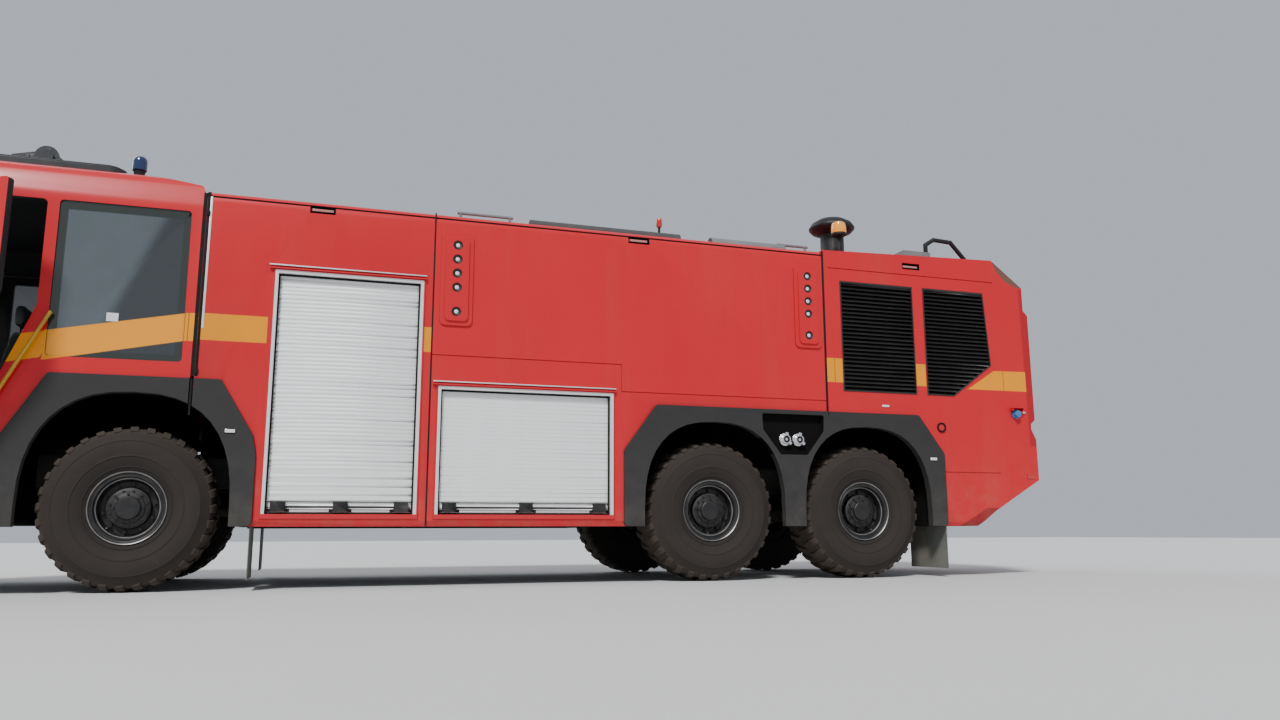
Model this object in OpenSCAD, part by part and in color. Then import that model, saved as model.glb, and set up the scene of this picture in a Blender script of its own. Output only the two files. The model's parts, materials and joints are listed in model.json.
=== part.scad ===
// Airport crash tender on six driven wheels, at its real size in millimetres.
// +X points forward, +Y to the vehicle's left and +Z up.
// The origin is on the ground, under the middle of the vehicle.
// Places along the vehicle are measured from the first axle, forward positive.

/* [Overall] */
// Width over the body panels
body_w = 3000; // [2800:10:3200]
// Height of the lower edge of the side skirts
skirt_z = 530; // [480:10:600]
// Height of the superstructure's roof
roof_z = 3440; // [3350:10:3700]
// Height of the cab's roof
cab_roof_z = 3560; // [3500:10:3800]
// Clearance left between pieces that are seated on each other
seat_gap = 0.3; // [0.2:0.1:0.5]
// Running clearance of every pin and shaft, on the radius
run_gap = 0.05; // [0.02:0.01:0.1]
// Radius of the soft edges of the cab's panels
edge_r = 45; // [20:5:60]
// Width of the grooves between panels
seam_w = 8; // [5:1:12]
// Depth of the grooves between panels
seam_t = 8; // [5:1:12]

/* [Axles] */
// First axle to second axle
wheelbase = 5200; // [5000:10:5500]
// Second axle to third axle
bogie_pitch = 1720; // [1680:10:1800]
// Rear wall behind the third axle
rear_overhang = 2170; // [2100:10:2300]
// Distance between the middles of the tyres on one axle
track = 2260; // [2200:10:2300]
// Radius of the axle tubes
axle_r = 90; // [70:5:100]
// Radius of the differential housings
diff_r = 205; // [180:5:220]
// Radius of the propeller shafts
prop_r = 48; // [40:2:60]
// Kingpin's distance inboard of the tyre's middle
kingpin_offset = 120; // [100:5:140]
// Radius of the kingpins
kingpin_r = 34; // [28:1:40]
// Height of the steering knuckles
knuckle_h = 230; // [200:5:250]
// Radius of the kingpin's ears on the axle
ear_r = 78; // [70:1:90]
// Thickness of the kingpin's ears
ear_t = 40; // [30:1:50]
// Gap between a knuckle and the ears over and under it
knuckle_gap = 6; // [5:1:8]
// Radius of the wheel spindles
spindle_r = 60; // [50:1:70]
// Radius of the suspension springs
spring_r = 62; // [50:1:70]
// Radius of the spring wire
wire_r = 13; // [10:1:16]
// Number of turns drawn on a spring
spring_turns = 4; // [3:1:5]

/* [Wheels] */
// Tyre radius over the lug tips
tyre_r = 685; // [670:1:700]
// Tyre width
tyre_w = 590; // [560:5:620]
// Height of the lugs
lug_h = 26; // [20:1:34]
// Number of lugs on each shoulder
lug_count = 24; // [18:1:28]
// Circumferential width of a lug
lug_w = 72; // [55:1:90]
// Radius of the rim's bead seat
rim_r = 268; // [260:1:275]
// Radius of the rim's flange
flange_r = 300; // [290:1:310]
// Width between the rim's flanges
rim_w = 470; // [440:5:490]
// Wall of the rim's barrel
rim_wall = 14; // [10:1:18]
// Radius of the planetary hub
hub_r = 152; // [130:1:160]
// Depth of the hub's seat outboard of the kingpin
hub_in = 110; // [100:1:120]

/* [Chassis] */
// Rails' underside above the axles' middle
rail_lift = 205; // [190:5:220]
// Distance between the outer faces of the frame rails
rail_span = 860; // [820:10:880]
// Height of the rails' section
rail_h = 280; // [240:10:300]
// Width of the rails' flanges
rail_flange = 90; // [80:5:110]
// Plate thickness of the rails
rail_t = 10; // [8:1:14]
// Front end of the rails behind the cab's nose
rail_set = 150; // [120:10:200]
// Rear end of the rails ahead of the rear wall
rail_end = 120; // [80:10:200]
// Room left round the frame under the cab's floor
rail_room = 10; // [8:1:15]
// Bore of the towing eye
tow_r = 32; // [25:1:40]
// Thickness of the towing eye's plate
tow_t = 50; // [40:1:60]

/* [Cab] */
// Cab's rear wall behind the first axle
cab_tail = 410; // [380:5:440]
// Cab's nose ahead of the first axle
nose_reach = 2450; // [2400:10:2550]
// Height of the header over the side windows, which leans inwards
header_h = 270; // [220:10:280]
// How far the header leans in
header_in = 80; // [50:5:100]
// Thickness of the cab's walls and roof
cab_wall = 60; // [45:5:70]
// Height of the cab's lowest edge ahead of the front wheels
cab_sill_z = 560; // [540:10:640]
// Cab floor's underside above the frame rails
floor_lift = 130; // [110:5:150]
// Foot of the windscreen above the ground
screen_z = 1660; // [1640:10:1720]
// Top of the windscreen below the roof
screen_drop = 170; // [150:5:200]
// Half width of the windscreen's foot
screen_half = 1290; // [1200:10:1320]
// Front edge of the roof behind the nose
brow_back = 570; // [500:10:620]
// Fall of the roof towards the cab's rear wall
roof_fall = 80; // [60:5:100]
// Length of the cab's slanted cheeks
cheek_l = 500; // [450:10:550]
// How much the cheeks narrow the cab on each side
cheek_w = 370; // [300:10:400]
// Depth of the glass behind the outer skin
glass_inset = 14; // [8:1:20]
// Thickness of the glass
glass_t = 12; // [8:1:16]
// Bottom edge of the rear side window
glass_z = 1900; // [1860:10:1940]
// Top edge of the rear side window below the roof
glass_drop = 335; // [300:5:350]
// Width of the pillar behind the door
pillar_w = 90; // [80:5:110]
// Room over the front tyres inside their housings
well_lift = 280; // [260:5:320]
// Room ahead of and behind the front tyres inside their housings
well_room = 165; // [160:5:185]
// Inner face of the wheel housings, from the middle of the vehicle
well_in = 520; // [490:5:530]
// Width of a seat
seat_w = 480; // [440:10:520]
// Height of a seat's cushion over the floor
seat_h = 440; // [400:10:460]

/* [Doors] */
// Hinge line behind the start of the slanted cheeks
hinge_back = 100; // [80:10:130]
// Length of a door
door_w = 1080; // [1040:10:1120]
// Thickness of a door
door_t = 55; // [45:5:60]
// Gap round a door
door_gap = 8; // [6:1:10]
// Left door's angle as it stands, in degrees
door_open = 30; // [0:1:40]
// Radius of the door hinges' barrels
hinge_r = 15; // [12:1:18]
// Radius of the door hinges' pins
hinge_pin_r = 7; // [5:1:8]
// Height of the door hinges' barrels
hinge_h = 70; // [50:5:90]

/* [Body] */
// Joint between the cab and the body
cab_gap = 30; // [20:5:40]
// Joint between two body sections
section_gap = 10; // [6:1:14]
// First joint behind the first axle
seam_1 = 2400; // [2350:10:2450]
// Second joint behind the second axle
seam_2 = 1265; // [1240:5:1290]
// Radius of the roof's long edges
body_edge_r = 110; // [90:5:130]
// Rise of the rear section's side panels over the roof at the tail
lip_rise = 70; // [50:5:90]
// Thickness of those side panels over the roof
lip_w = 90; // [75:5:100]
// Depth of the pockets behind the shutters
pocket_t = 75; // [65:5:90]
// Wall of the engine compartment
bay_wall = 45; // [35:5:60]
// How far the dark wheel arches stand proud of the panels
flare_proud = 22; // [15:1:30]
// Depth of the wheel arches behind the panels
flare_depth = 60; // [50:5:70]
// Room over the rear tyres inside their housings
bogie_lift = 230; // [200:5:260]
// Depth of the hose niche behind the arches' face
niche_t = 65; // [60:1:75]
// Height of the hose couplings
outlet_z = 1400; // [1380:5:1420]
// Radius of the hose couplings
outlet_r = 48; // [40:1:55]
// Length of the hose couplings
outlet_l = 55; // [45:1:60]
// Distance between the two hose couplings
outlet_pitch = 150; // [140:5:180]
// Lower edge of the side grilles
grille_z = 1925; // [1900:5:1960]
// Top edge of the side grilles below the roof
grille_drop = 325; // [300:5:340]
// Length of the front side grille
grille_l = 895; // [860:5:920]
// Pitch of the louvre slats
louvre_pitch = 44; // [40:1:60]
// Angle of the louvre slats, in degrees
louvre_lean = 40; // [30:1:50]
// Thickness of the louvre slats
louvre_t = 5; // [4:1:7]

/* [Shutters] */
// Lower edge of the shutter frames above the skirts' edge
frame_lift = 65; // [55:5:80]
// Top of the tall shutter
shutter_top = 2776; // [2740:2:2800]
// Top of the low shutter
shutter_low_top = 1805; // [1790:5:1815]
// Width of the shutter frames
frame_w = 40; // [34:1:55]
// Pitch of the slats
slat_h = 36; // [30:1:50]
// Thickness of a shutter
slat_t = 30; // [24:1:34]
// Height of the shutters' end rails
end_rail_h = 125; // [110:5:140]

/* [Monitors] */
// Roof monitor's place ahead of the first axle
turret_x = 1150; // [1100:10:1200]
// Height of the cover on the cab's roof
cover_h = 90; // [70:5:110]
// Height of the roof monitor's fixed drum
drum_h = 90; // [80:5:110]
// Trunnion's height over the roof monitor's drum
trunnion_lift = 320; // [300:5:340]
// Length of the roof monitor's barrel from its trunnion
turret_l = 1050; // [950:10:1100]
// Angle by which the parked roof barrel points down, in degrees
droop = 14; // [10:1:15]
// Radius of the monitors' turning spigots
spigot_r = 45; // [40:1:50]
// Radius of the roof monitor's trunnion pin
trunnion_r = 25; // [20:1:30]
// Depth of the bumper's ledge ahead of the nose
ledge = 300; // [290:5:330]
// Bumper's underside above the ground
bumper_z = 560; // [540:5:600]
// Height of the bumper
bumper_h = 490; // [460:5:520]
// Bumper monitor's place behind the bumper's face
nose_set = 140; // [130:5:150]
// Radius of the bumper monitor's trunnion pin
nose_pin_r = 17; // [14:1:20]
// Length of the bumper monitor's barrel
nose_barrel_l = 250; // [230:5:270]

/* [Hidden] */

red = [0.74, 0.16, 0.14];
yellow = [0.93, 0.68, 0.08];
dark_grey = [0.20, 0.21, 0.22];
pale_grey = [0.80, 0.80, 0.82];
black = [0.06, 0.06, 0.07];
rubber_tone = [0.24, 0.22, 0.20];
steel = [0.55, 0.56, 0.58];
tinted = [0.12, 0.15, 0.18, 0.6];

front_overhang = nose_reach + ledge;
overall_l = front_overhang + wheelbase + bogie_pitch + rear_overhang;
x1 = overall_l / 2 - front_overhang;
x2 = x1 - wheelbase;
x3 = x2 - bogie_pitch;
x_rear = -overall_l / 2;
nose_x = x1 + nose_reach;
half_w = body_w / 2;
hub_z = tyre_r;
tyre_y = track / 2;
kingpin_y = tyre_y - kingpin_offset;
rail_z = hub_z + rail_lift;
rail_top = rail_z + rail_h;
deck_z = rail_top + seat_gap;
cab_floor_z = rail_top + floor_lift;
floor_top = cab_floor_z + cab_wall;
well_z = 2 * tyre_r + well_lift;
well_half = tyre_r + well_room;
cab_rear_x = x1 - cab_tail;
front_x0 = x1 - seam_1;
front_x1 = cab_rear_x - cab_gap;
mid_x0 = x2 - seam_2;
mid_x1 = front_x0 - section_gap;
rear_x1 = mid_x0 - section_gap;
channel_y = well_in + 40;
arch_seat = half_w - flare_depth;
far = 2 * overall_l;

// Points along a round stretch about c, from the angle a to the angle b
function arc(c, r, a, b, n = 8) = [for (i = [0:n]) c + r * [cos(a + (b - a) * i / n),
    sin(a + (b - a) * i / n)]];

// An outline in X and Z, extruded w wide about the middle of the vehicle
module across(w) {
    rotate([90, 0, 0]) linear_extrude(height = w, center = true) children();
}

// An outline in X and Z, extruded from y0 to y1
module between(y0, y1) {
    translate([0, y1, 0]) rotate([90, 0, 0]) linear_extrude(height = y1 - y0) children();
}

// An outline in Y and Z, extruded from a to b along the vehicle
module lengthwise(a, b) {
    translate([a, 0, 0]) rotate([90, 0, 90]) linear_extrude(height = b - a) children();
}

module both_sides() {
    children();
    mirror([0, 1, 0]) children();
}

// A box from its low corner to its high corner
module box(a, b) {
    translate(a) cube(b - a);
}

// A bar between two points, with the radius r
module bar(a, b, r) {
    d = b - a;
    turn = atan2(d[1], d[0]);
    lean = acos(d[2] / norm(d));
    translate(a) rotate([0, lean, turn]) cylinder(r = r, h = norm(d), $fn = 32);
}

// A bent tube through the points of a list, with ball joints at its bends
module tube(points, r) {
    for (i = [1:len(points) - 1]) bar(points[i - 1], points[i], r);
    for (i = [1:len(points) - 2]) translate(points[i]) sphere(r = r + 1, $fn = 32);
}

// A disc on a side panel, from y outwards
module side_disc(x, y, z, r, h) {
    translate([x, y, z]) rotate([-90, 0, 0]) cylinder(r = r, h = h, $fn = 40);
}

// A disc that faces forward, from x forwards
module front_disc(x, y, z, r, h) {
    translate([x, y, z]) rotate([0, 90, 0]) cylinder(r = r, h = h, $fn = 40);
}

module soft(r) {
    offset(r = r, $fn = 20) offset(delta = -r) children();
}

module at_axle_1(points) {
    translate([x1, 0]) polygon(points);
}

// Wheel arches: squared-round openings and chamfered outer outlines

arch_power = 0.8;

function arch_point(half, top, a) = [half * sign(cos(a)) * pow(abs(cos(a)), arch_power),
    hub_z + (top - hub_z) * pow(sin(a), arch_power)];

function arch_opening(half, top) = concat([[half, 0]], [for (a = [0:9:180]) arch_point(half, top, a)],
    [[-half, 0]]);

front_arch_half = tyre_r + 100;
front_arch_top = 2 * tyre_r + 257;
rear_arch_half = tyre_r + 60;
rear_arch_top = 2 * tyre_r + 180;
flare_fore = tyre_r + 315;
flare_aft = tyre_r + 282;
flare_leg_z = 1130;
front_flare_top = 2 * tyre_r + 395;
front_arch_out = [[-flare_aft, skirt_z], [-flare_aft, flare_leg_z], [-flare_aft + 33, flare_leg_z + 170],
    [-flare_aft + 310, front_flare_top], [flare_fore - 360, front_flare_top], [flare_fore, flare_leg_z],
    [flare_fore, skirt_z]];
rear_flare_top = 2 * tyre_r + 330;
rear_flare_fore = tyre_r + 265;
rear_flare_aft = bogie_pitch + tyre_r + 255;
rear_leg_z = 1290;
rear_arch_out = [[rear_flare_fore, skirt_z], [rear_flare_fore, rear_leg_z - 40],
    [rear_flare_fore - 330, rear_flare_top], [300 - rear_flare_aft, rear_flare_top],
    [-rear_flare_aft, rear_leg_z], [-rear_flare_aft, skirt_z]];

niche_x = x2 - bogie_pitch / 2;
niche_top = 1655;
niche_knee = 1490;
niche_foot = 1245;
niche_half = 350;
niche_foot_half = 150;
niche = [[-niche_half, niche_top], [niche_half, niche_top], [niche_half - 10, niche_knee],
    [niche_foot_half, niche_foot],
    [-niche_foot_half, niche_foot], [10 - niche_half, niche_knee]];
flap_t = 8;
flap_foot = 90;
flap_in = 820;

// Room in a panel for a wheel arch about the axle at x
module arch_notch(points, x) {
    both_sides() between(arch_seat - seat_gap, far) offset(delta = seat_gap) soft(40)
        translate([x, 0]) polygon(points);
}

// A rubber flap under the skirt behind a wheel
module mud_flap(x) {
    both_sides() box([x, flap_in, flap_foot], [x + flap_t, half_w - flap_t, skirt_z - seat_gap]);
}

module front_flares() {
    seam_x = cab_rear_x - cab_gap;
    color(dark_grey) both_sides() difference() {
        between(arch_seat, half_w + flare_proud) difference() {
            soft(40) at_axle_1(front_arch_out);
            soft(60) at_axle_1(arch_opening(front_arch_half, front_arch_top));
        }
        box([seam_x, 0, 0], [cab_rear_x, far, far]);
    }
    color(black) mud_flap(x1 - flare_aft + flap_t);
}

module rear_flares() {
    color(dark_grey) both_sides() difference() {
        between(arch_seat, half_w + flare_proud) difference() {
            soft(40) translate([x2, 0]) polygon(rear_arch_out);
            for (x = [x2, x3]) soft(60) translate([x, 0]) polygon(arch_opening(rear_arch_half,
                rear_arch_top));
        }
        between(half_w + flare_proud - niche_t, far) soft(20) translate([niche_x, 0]) polygon(niche);
        box([rear_x1, 0, niche_top], [mid_x0, far, far]);
    }
    color(black) mud_flap(x2 - rear_flare_aft + flap_t);
}

// Cab outlines, all drawn d inside the outer skin

front_web = 40;
cheek_x = nose_reach - cheek_l;
nose_half = half_w - cheek_w;
door_hinge = cheek_x - hinge_back;
door_rear = door_hinge - door_w;
brow_x = nose_reach - brow_back;

cab_side = [[-cab_tail, cab_floor_z], [-cab_tail, cab_roof_z - roof_fall], [-cab_tail + 450, cab_roof_z],
    [brow_x, cab_roof_z], [brow_x + 180, cab_roof_z - 60], [nose_reach - 50, screen_z],
    [nose_reach, screen_z - 300],
    [nose_reach, cab_sill_z], [well_half + front_web, cab_sill_z], [well_half + front_web, cab_floor_z]];

module cab_side_outline(d = 0) {
    offset(delta = -d) soft(edge_r) at_axle_1(cab_side);
}

module cab_plan_outline(d = 0) {
    tail = -cab_tail - 4 * edge_r;
    offset(delta = -d) soft(4 * edge_r) at_axle_1([[tail, -half_w], [cheek_x, -half_w],
        [nose_reach, -nose_half],
        [nose_reach, nose_half], [cheek_x, half_w], [tail, half_w]]);
}

module cab_section_outline(d = 0) {
    offset(delta = -d) soft(3 * edge_r)
        polygon([[-half_w, 0], [half_w, 0], [half_w, cab_roof_z - header_h], [half_w - header_in, cab_roof_z],
            [header_in - half_w, cab_roof_z], [-half_w, cab_roof_z - header_h]]);
}

module cab_body(d = 0) {
    intersection() {
        across(far) cab_side_outline(d);
        linear_extrude(height = 2 * cab_roof_z) cab_plan_outline(d);
        lengthwise(-far / 2, far / 2) cab_section_outline(d);
    }
}

// Windows

quarter_top = cab_roof_z - glass_drop;
quarter_glass = [[-cab_tail + 75, glass_z], [-cab_tail + 85, quarter_top],
    [door_rear - pillar_w, quarter_top],
    [door_rear - pillar_w, glass_z]];
door_top = cab_roof_z - glass_drop - 5;
door_knee_z = 2320;
door_foot_z = cab_floor_z - 10;
door_foot_x = flare_fore + 150;
door_outline = [[door_hinge, door_foot_z], [door_hinge, door_top], [door_rear, door_top],
    [door_rear, door_knee_z],
    [door_foot_x, door_foot_z]];
window_z = glass_z + 80;
door_window = [[door_hinge - 130, window_z], [door_hinge - 130, door_top - 90],
    [door_rear + 90, door_top - 90],
    [door_rear + 90, door_knee_z + 40], [door_rear + 215, window_z]];
screen_lean = 40;
screen_side = 460;

module screen_zone(d = 0) {
    top = cab_roof_z - screen_drop;
    foot = screen_z + 60;
    intersection() {
        lengthwise(0, far) offset(delta = -d) soft(2 * edge_r)
            polygon([[-screen_half, foot], [-screen_half + screen_lean, top],
                [screen_half - screen_lean, top],
                [screen_half, foot]]);
        box([nose_x - screen_side + d, -half_w, 0], [far, half_w, far]);
    }
}

module wheel_wells(grow = 0) {
    both_sides() box([x1 - well_half - grow, well_in - grow, 0],
        [x1 + well_half + grow, arch_seat, well_z + grow]);
}

module door_outline_2d(d = 0) {
    offset(delta = -d) soft(40) at_axle_1(door_outline);
}

module cab_shell() {
    color(red) difference() {
        cab_body();
        cab_body(cab_wall);
        box([-far, -far, -far], [far, far, cab_floor_z]);
        floor_room(cab_wall, floor_top + seat_gap);
        wheel_wells(cab_wall + seat_gap);
        screen_zone();
        across(far) soft(30) at_axle_1(quarter_glass);
        across(far) door_outline_2d();
        arch_notch(front_arch_out, x1);
        both_sides() hinge_pockets();
        badge_recess();
    }
    color(red) both_sides() hinge_pins();
}

// The space inside the cab's walls, d in from the outer skin, up to the height z
module floor_room(d, z) {
    intersection() {
        linear_extrude(height = z) cab_plan_outline(d);
        box([cab_rear_x + d, -half_w, 0], [nose_x - d, half_w, z]);
    }
}

// A plain shallow panel under the windscreen
module badge_recess() {
    box([nose_x - seam_t, -620, screen_z - 270], [far, 620, screen_z - 90]);
}

step_l = 620;
step_h = 230;
step_depth = 260;
step_zs = [cab_sill_z + 120, cab_sill_z + 430];

module steps_cut() {
    x = x1 + flare_fore + 180;
    both_sides() for (z = step_zs) box([x, half_w - step_depth, z], [x + step_l, far, z + step_h]);
}

// Room for the frame's front end under the cab's floor
module rail_channel() {
    y = rail_span / 2 + rail_room;
    box([cab_rear_x - 1, -y, 0], [nose_x - rail_set + rail_room, y, deck_z]);
}

// The cab's lower front, its floor and the housings over the front wheels
module cab_floor() {
    inside = cab_wall + seat_gap;
    color(red) difference() {
        union() {
            intersection() {
                cab_body();
                box([x1 + well_half, -half_w, 0], [nose_x, half_w, cab_floor_z - seat_gap]);
            }
            intersection() {
                floor_room(inside, well_z + cab_wall);
                union() {
                    box([cab_rear_x, -half_w, cab_floor_z - 1], [nose_x, half_w, floor_top]);
                    both_sides() box([cab_rear_x, well_in - cab_wall, cab_floor_z],
                        [x1 + well_half + cab_wall, half_w, well_z + cab_wall]);
                }
            }
        }
        wheel_wells();
        steps_cut();
        rail_channel();
        arch_notch(front_arch_out, x1);
        both_sides() between(half_w - door_t - door_gap, far) door_outline_2d();
    }
}

module cab_glass() {
    color(tinted) {
        intersection() {
            difference() {
                cab_body(glass_inset);
                cab_body(glass_inset + glass_t);
            }
            screen_zone(seat_gap);
        }
        both_sides() between(half_w - glass_inset - glass_t, half_w - glass_inset)
            offset(delta = -seat_gap) soft(30) at_axle_1(quarter_glass);
    }
}

// Door hinges: a barrel on the door turns on a pin between two ears on the cab
hinge_zs = [door_foot_z + 190, (door_foot_z + door_top) / 2, door_top - 190];
hinge_ear_h = 22;
hinge_play = 2;
ear_reach = 60;

module at_hinges() {
    for (z = hinge_zs) translate([x1 + door_hinge, half_w, z]) children();
}

module hinge_pockets() {
    at_hinges() cylinder(r = hinge_r + hinge_play, h = hinge_h + 2 * hinge_play, center = true, $fn = 32);
}

module hinge_pins() {
    at_hinges() {
        cylinder(r = hinge_pin_r, h = hinge_h + 2 * (hinge_play + hinge_ear_h), center = true, $fn = 32);
        for (side = [0, 1]) mirror([0, 0, side]) translate([0, 0, hinge_h / 2 + hinge_play]) {
            cylinder(r = hinge_r, h = hinge_ear_h, $fn = 32);
            translate([0, -hinge_r - hinge_play, 0]) cube([ear_reach, hinge_r + hinge_play + 4, hinge_ear_h]);
        }
    }
}

// A door as it stands when shut
module door_panel() {
    ear_room = hinge_ear_h + 3 * hinge_play;
    handle_l = 150;
    difference() {
        union() {
            difference() {
                between(half_w - door_t, half_w) door_outline_2d(door_gap);
                between(0, far) soft(30) at_axle_1(door_window);
                at_hinges() for (side = [0, 1]) mirror([0, 0, side]) translate([0, 0, hinge_h / 2])
                    cylinder(r = hinge_r + door_gap, h = ear_room, $fn = 32);
                between(half_w - seam_t / 2, far) difference() {
                    offset(delta = -60) door_outline_2d(door_gap);
                    offset(delta = -60 - seam_w) door_outline_2d(door_gap);
                    translate([0, window_z - 60]) square([far, far]);
                }
            }
            at_hinges() cylinder(r = hinge_r, h = hinge_h, center = true, $fn = 32);
        }
        at_hinges() cylinder(r = hinge_pin_r + run_gap, h = 3 * hinge_h, center = true, $fn = 32);
    }
    translate([x1 + door_foot_x, half_w, window_z - 120]) difference() {
        box([-handle_l / 2, -1, -18], [handle_l / 2, 28, 18]);
        box([-handle_l / 2 + 20, 0, -40], [handle_l / 2 - 20, 14, 40]);
    }
    between(half_w - door_t - 14, half_w - door_t) intersection() {
        offset(delta = -90) door_outline_2d(door_gap);
        square([far, window_z - 60]);
    }
}

module door_pane() {
    between(half_w - glass_inset - glass_t, half_w - glass_inset)
        offset(delta = -seat_gap) soft(30) at_axle_1(door_window);
}

module swung(angle) {
    translate([x1 + door_hinge, half_w, 0]) rotate([0, 0, -angle]) translate([-x1 - door_hinge, -half_w, 0])
        children();
}

module door_left() {
    color(red) swung(door_open) door_panel();
}

module door_left_glass() {
    color(tinted) swung(door_open) door_pane();
}

module door_right() {
    color(red) mirror([0, 1, 0]) door_panel();
}

module door_right_glass() {
    color(tinted) mirror([0, 1, 0]) door_pane();
}

// Bumper with its lamp recesses, air slot and ledge for the monitor

bumper_x = x1 + front_overhang;
bumper_top = bumper_z + bumper_h;
bumper_back = nose_x - 490;
lamp_y = 860;
lamp_half = 230;
lamp_depth = 90;
lamp_z = bumper_z + 260;
lamp_rise = 105;
slot_half = 520;
slot_bars = 4;
slot_bar_h = 18;

module front_bumper() {
    slot_z = bumper_z + 70;
    slot_h = 190;
    slot_pitch = slot_h / slot_bars;
    color(dark_grey) difference() {
        intersection() {
            translate([0, 0, bumper_z]) linear_extrude(height = bumper_h) difference() {
                soft(80) polygon([[bumper_back, -half_w], [nose_x + 50, -half_w + 160],
                    [bumper_x, -lamp_y - lamp_half],
                    [bumper_x, lamp_y + lamp_half], [nose_x + 50, half_w - 160], [bumper_back, half_w]]);
                cab_plan_outline(-seat_gap);
            }
            across(far) polygon([[bumper_back - 10, bumper_z], [bumper_x - 90, bumper_z],
                [bumper_x, bumper_z + 110],
                [bumper_x, bumper_top - 60], [bumper_x - 60, bumper_top], [bumper_back - 10, bumper_top]]);
        }
        both_sides() box([bumper_x - lamp_depth, lamp_y - lamp_half, lamp_z - lamp_rise],
            [far, lamp_y + lamp_half, lamp_z + lamp_rise]);
        difference() {
            box([bumper_x - lamp_depth, -slot_half, slot_z], [far, slot_half, slot_z + slot_h]);
            for (i = [1:slot_bars - 1]) translate([0, 0, slot_z + i * slot_pitch])
                box([0, -slot_half, -slot_bar_h / 2], [bumper_x - 20, slot_half, slot_bar_h / 2]);
        }
        translate([bumper_x - nose_set, 0, bumper_top - 60])
            cylinder(r = spigot_r + run_gap, h = 100, $fn = 40);
    }
}

// Seats: columns are x ahead of the first axle, y and the height of the floor under the seat
rear_seat_x = 100;
front_seat_x = max(well_half + cab_wall + 300, door_hinge - 560);
seats = [[front_seat_x, 640, floor_top], [front_seat_x, -640, floor_top],
    [rear_seat_x, 920, well_z + cab_wall], [rear_seat_x, -920, well_z + cab_wall],
    [rear_seat_x, 0, floor_top]];

module seat_outline() {
    back_top = seat_h + 420;
    soft(25) polygon([[-230, seat_h - 130], [240, seat_h - 130], [245, seat_h], [-90, seat_h - 25],
        [-170, back_top],
        [-290, back_top], [-240, seat_h - 60]]);
    soft(25) translate([-275, back_top + 40]) square([110, 210]);
    translate([-245, back_top - 20]) square([40, 100]);
}

module cab_seats() {
    color(dark_grey) for (s = seats) translate([x1 + s[0], s[1], s[2] + seat_gap]) {
        translate([-170, -150, 0]) cube([340, 300, seat_h - 120]);
        across(seat_w) seat_outline();
    }
}

module dashboard() {
    z0 = floor_top + seat_gap;
    wheel_y = seats[0][1];
    dash_half = 1000;
    steering_r = 210;
    color(black) {
        between(-dash_half, dash_half) at_axle_1([[nose_reach - 550, z0], [nose_reach - 150, z0],
            [nose_reach - 150, screen_z - 30], [nose_reach - 490, screen_z + 80],
            [nose_reach - 650, screen_z]]);
        bar([nose_x - 560, wheel_y, screen_z - 40], [nose_x - 740, wheel_y, screen_z + 160], 35);
        translate([nose_x - 740, wheel_y, screen_z + 160]) rotate([0, -42, 0]) {
            rotate_extrude($fn = 48) translate([steering_r, 0]) circle(r = 16, $fn = 16);
            translate([0, 0, -8]) for (a = [0, 120, 240]) rotate([0, 0, a]) translate([0, -20, 0])
                cube([steering_r - 5, 40, 12]);
        }
    }
}

// Mirrors on bent arms ahead of the doors

module mirrors() {
    foot_r = 42;
    foot_x = x1 + door_hinge + foot_r + 8;
    x = foot_x + 400;
    y = half_w + 290;
    z = cab_roof_z - header_h - foot_r - 10;
    foot_t = 16;
    head_w = 320;
    head_h = 620;
    head_z = z - 210;
    color(black) both_sides() {
        side_disc(foot_x, half_w + seat_gap, z, foot_r, foot_t);
        bar([foot_x, half_w + foot_t, z], [x, y, z], 20);
        bar([x, y, z + 24], [x, y, head_z - head_h - 30], 17);
        lengthwise(x - 45, x + 45) soft(40) translate([y - head_w / 2, head_z - head_h])
            square([head_w, head_h]);
    }
}

// Superstructure

module section_outline() {
    side = concat([[channel_y, deck_z], [channel_y, skirt_z], [half_w - 25, skirt_z], [half_w, skirt_z + 50]],
        arc([half_w - body_edge_r, roof_z - body_edge_r], body_edge_r, 0, 90));
    n = len(side);
    polygon(concat(side, [for (i = [n - 1:-1:0]) [-side[i][0], side[i][1]]]));
}

// Shutter openings: low and high corners, in X from the first axle and in Z
shutter_foot = skirt_z + frame_lift;
shutter_front = [[-seam_1 + 70, shutter_foot], [-flare_aft - 53, shutter_top]];
shutter_mid = [[-wheelbase + rear_flare_fore + 95, shutter_foot],
    [-seam_1 - section_gap - 55, shutter_low_top]];

module shutter_pocket(s) {
    both_sides() box([x1 + s[0][0], half_w - pocket_t, s[0][1]], [x1 + s[1][0], far, s[1][1]]);
}

// Recessed places for the slim marker lamps under the roof's edge
marker_z = roof_z - 92;
marker_half = 110;
marker_h = 70;
marker_depth = 30;

module marker_recess(x) {
    both_sides() box([x - marker_half, half_w - marker_depth, marker_z - marker_h / 2],
        [x + marker_half, far, marker_z + marker_h / 2]);
}

marker_xs = [x1 - seam_1 + 1000, mid_x1 - 2000, rear_x1 - 1095];

module seam(a, b) {
    both_sides() box([a[0], half_w - seam_t, a[1]], [b[0], far, b[1]]);
}

module body_front() {
    color(red) difference() {
        lengthwise(front_x0, front_x1) section_outline();
        wheel_wells();
        arch_notch(front_arch_out, x1);
        shutter_pocket(shutter_front);
        marker_recess(marker_xs[0]);
    }
}

module bogie_wells() {
    half = rear_arch_half + 55;
    both_sides() box([x3 - half, channel_y, 0], [x2 + half, arch_seat, 2 * tyre_r + bogie_lift]);
}

panel_seam_z = shutter_low_top + 270;
panel_seam_x = x2 + rear_flare_fore + 20;

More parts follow.
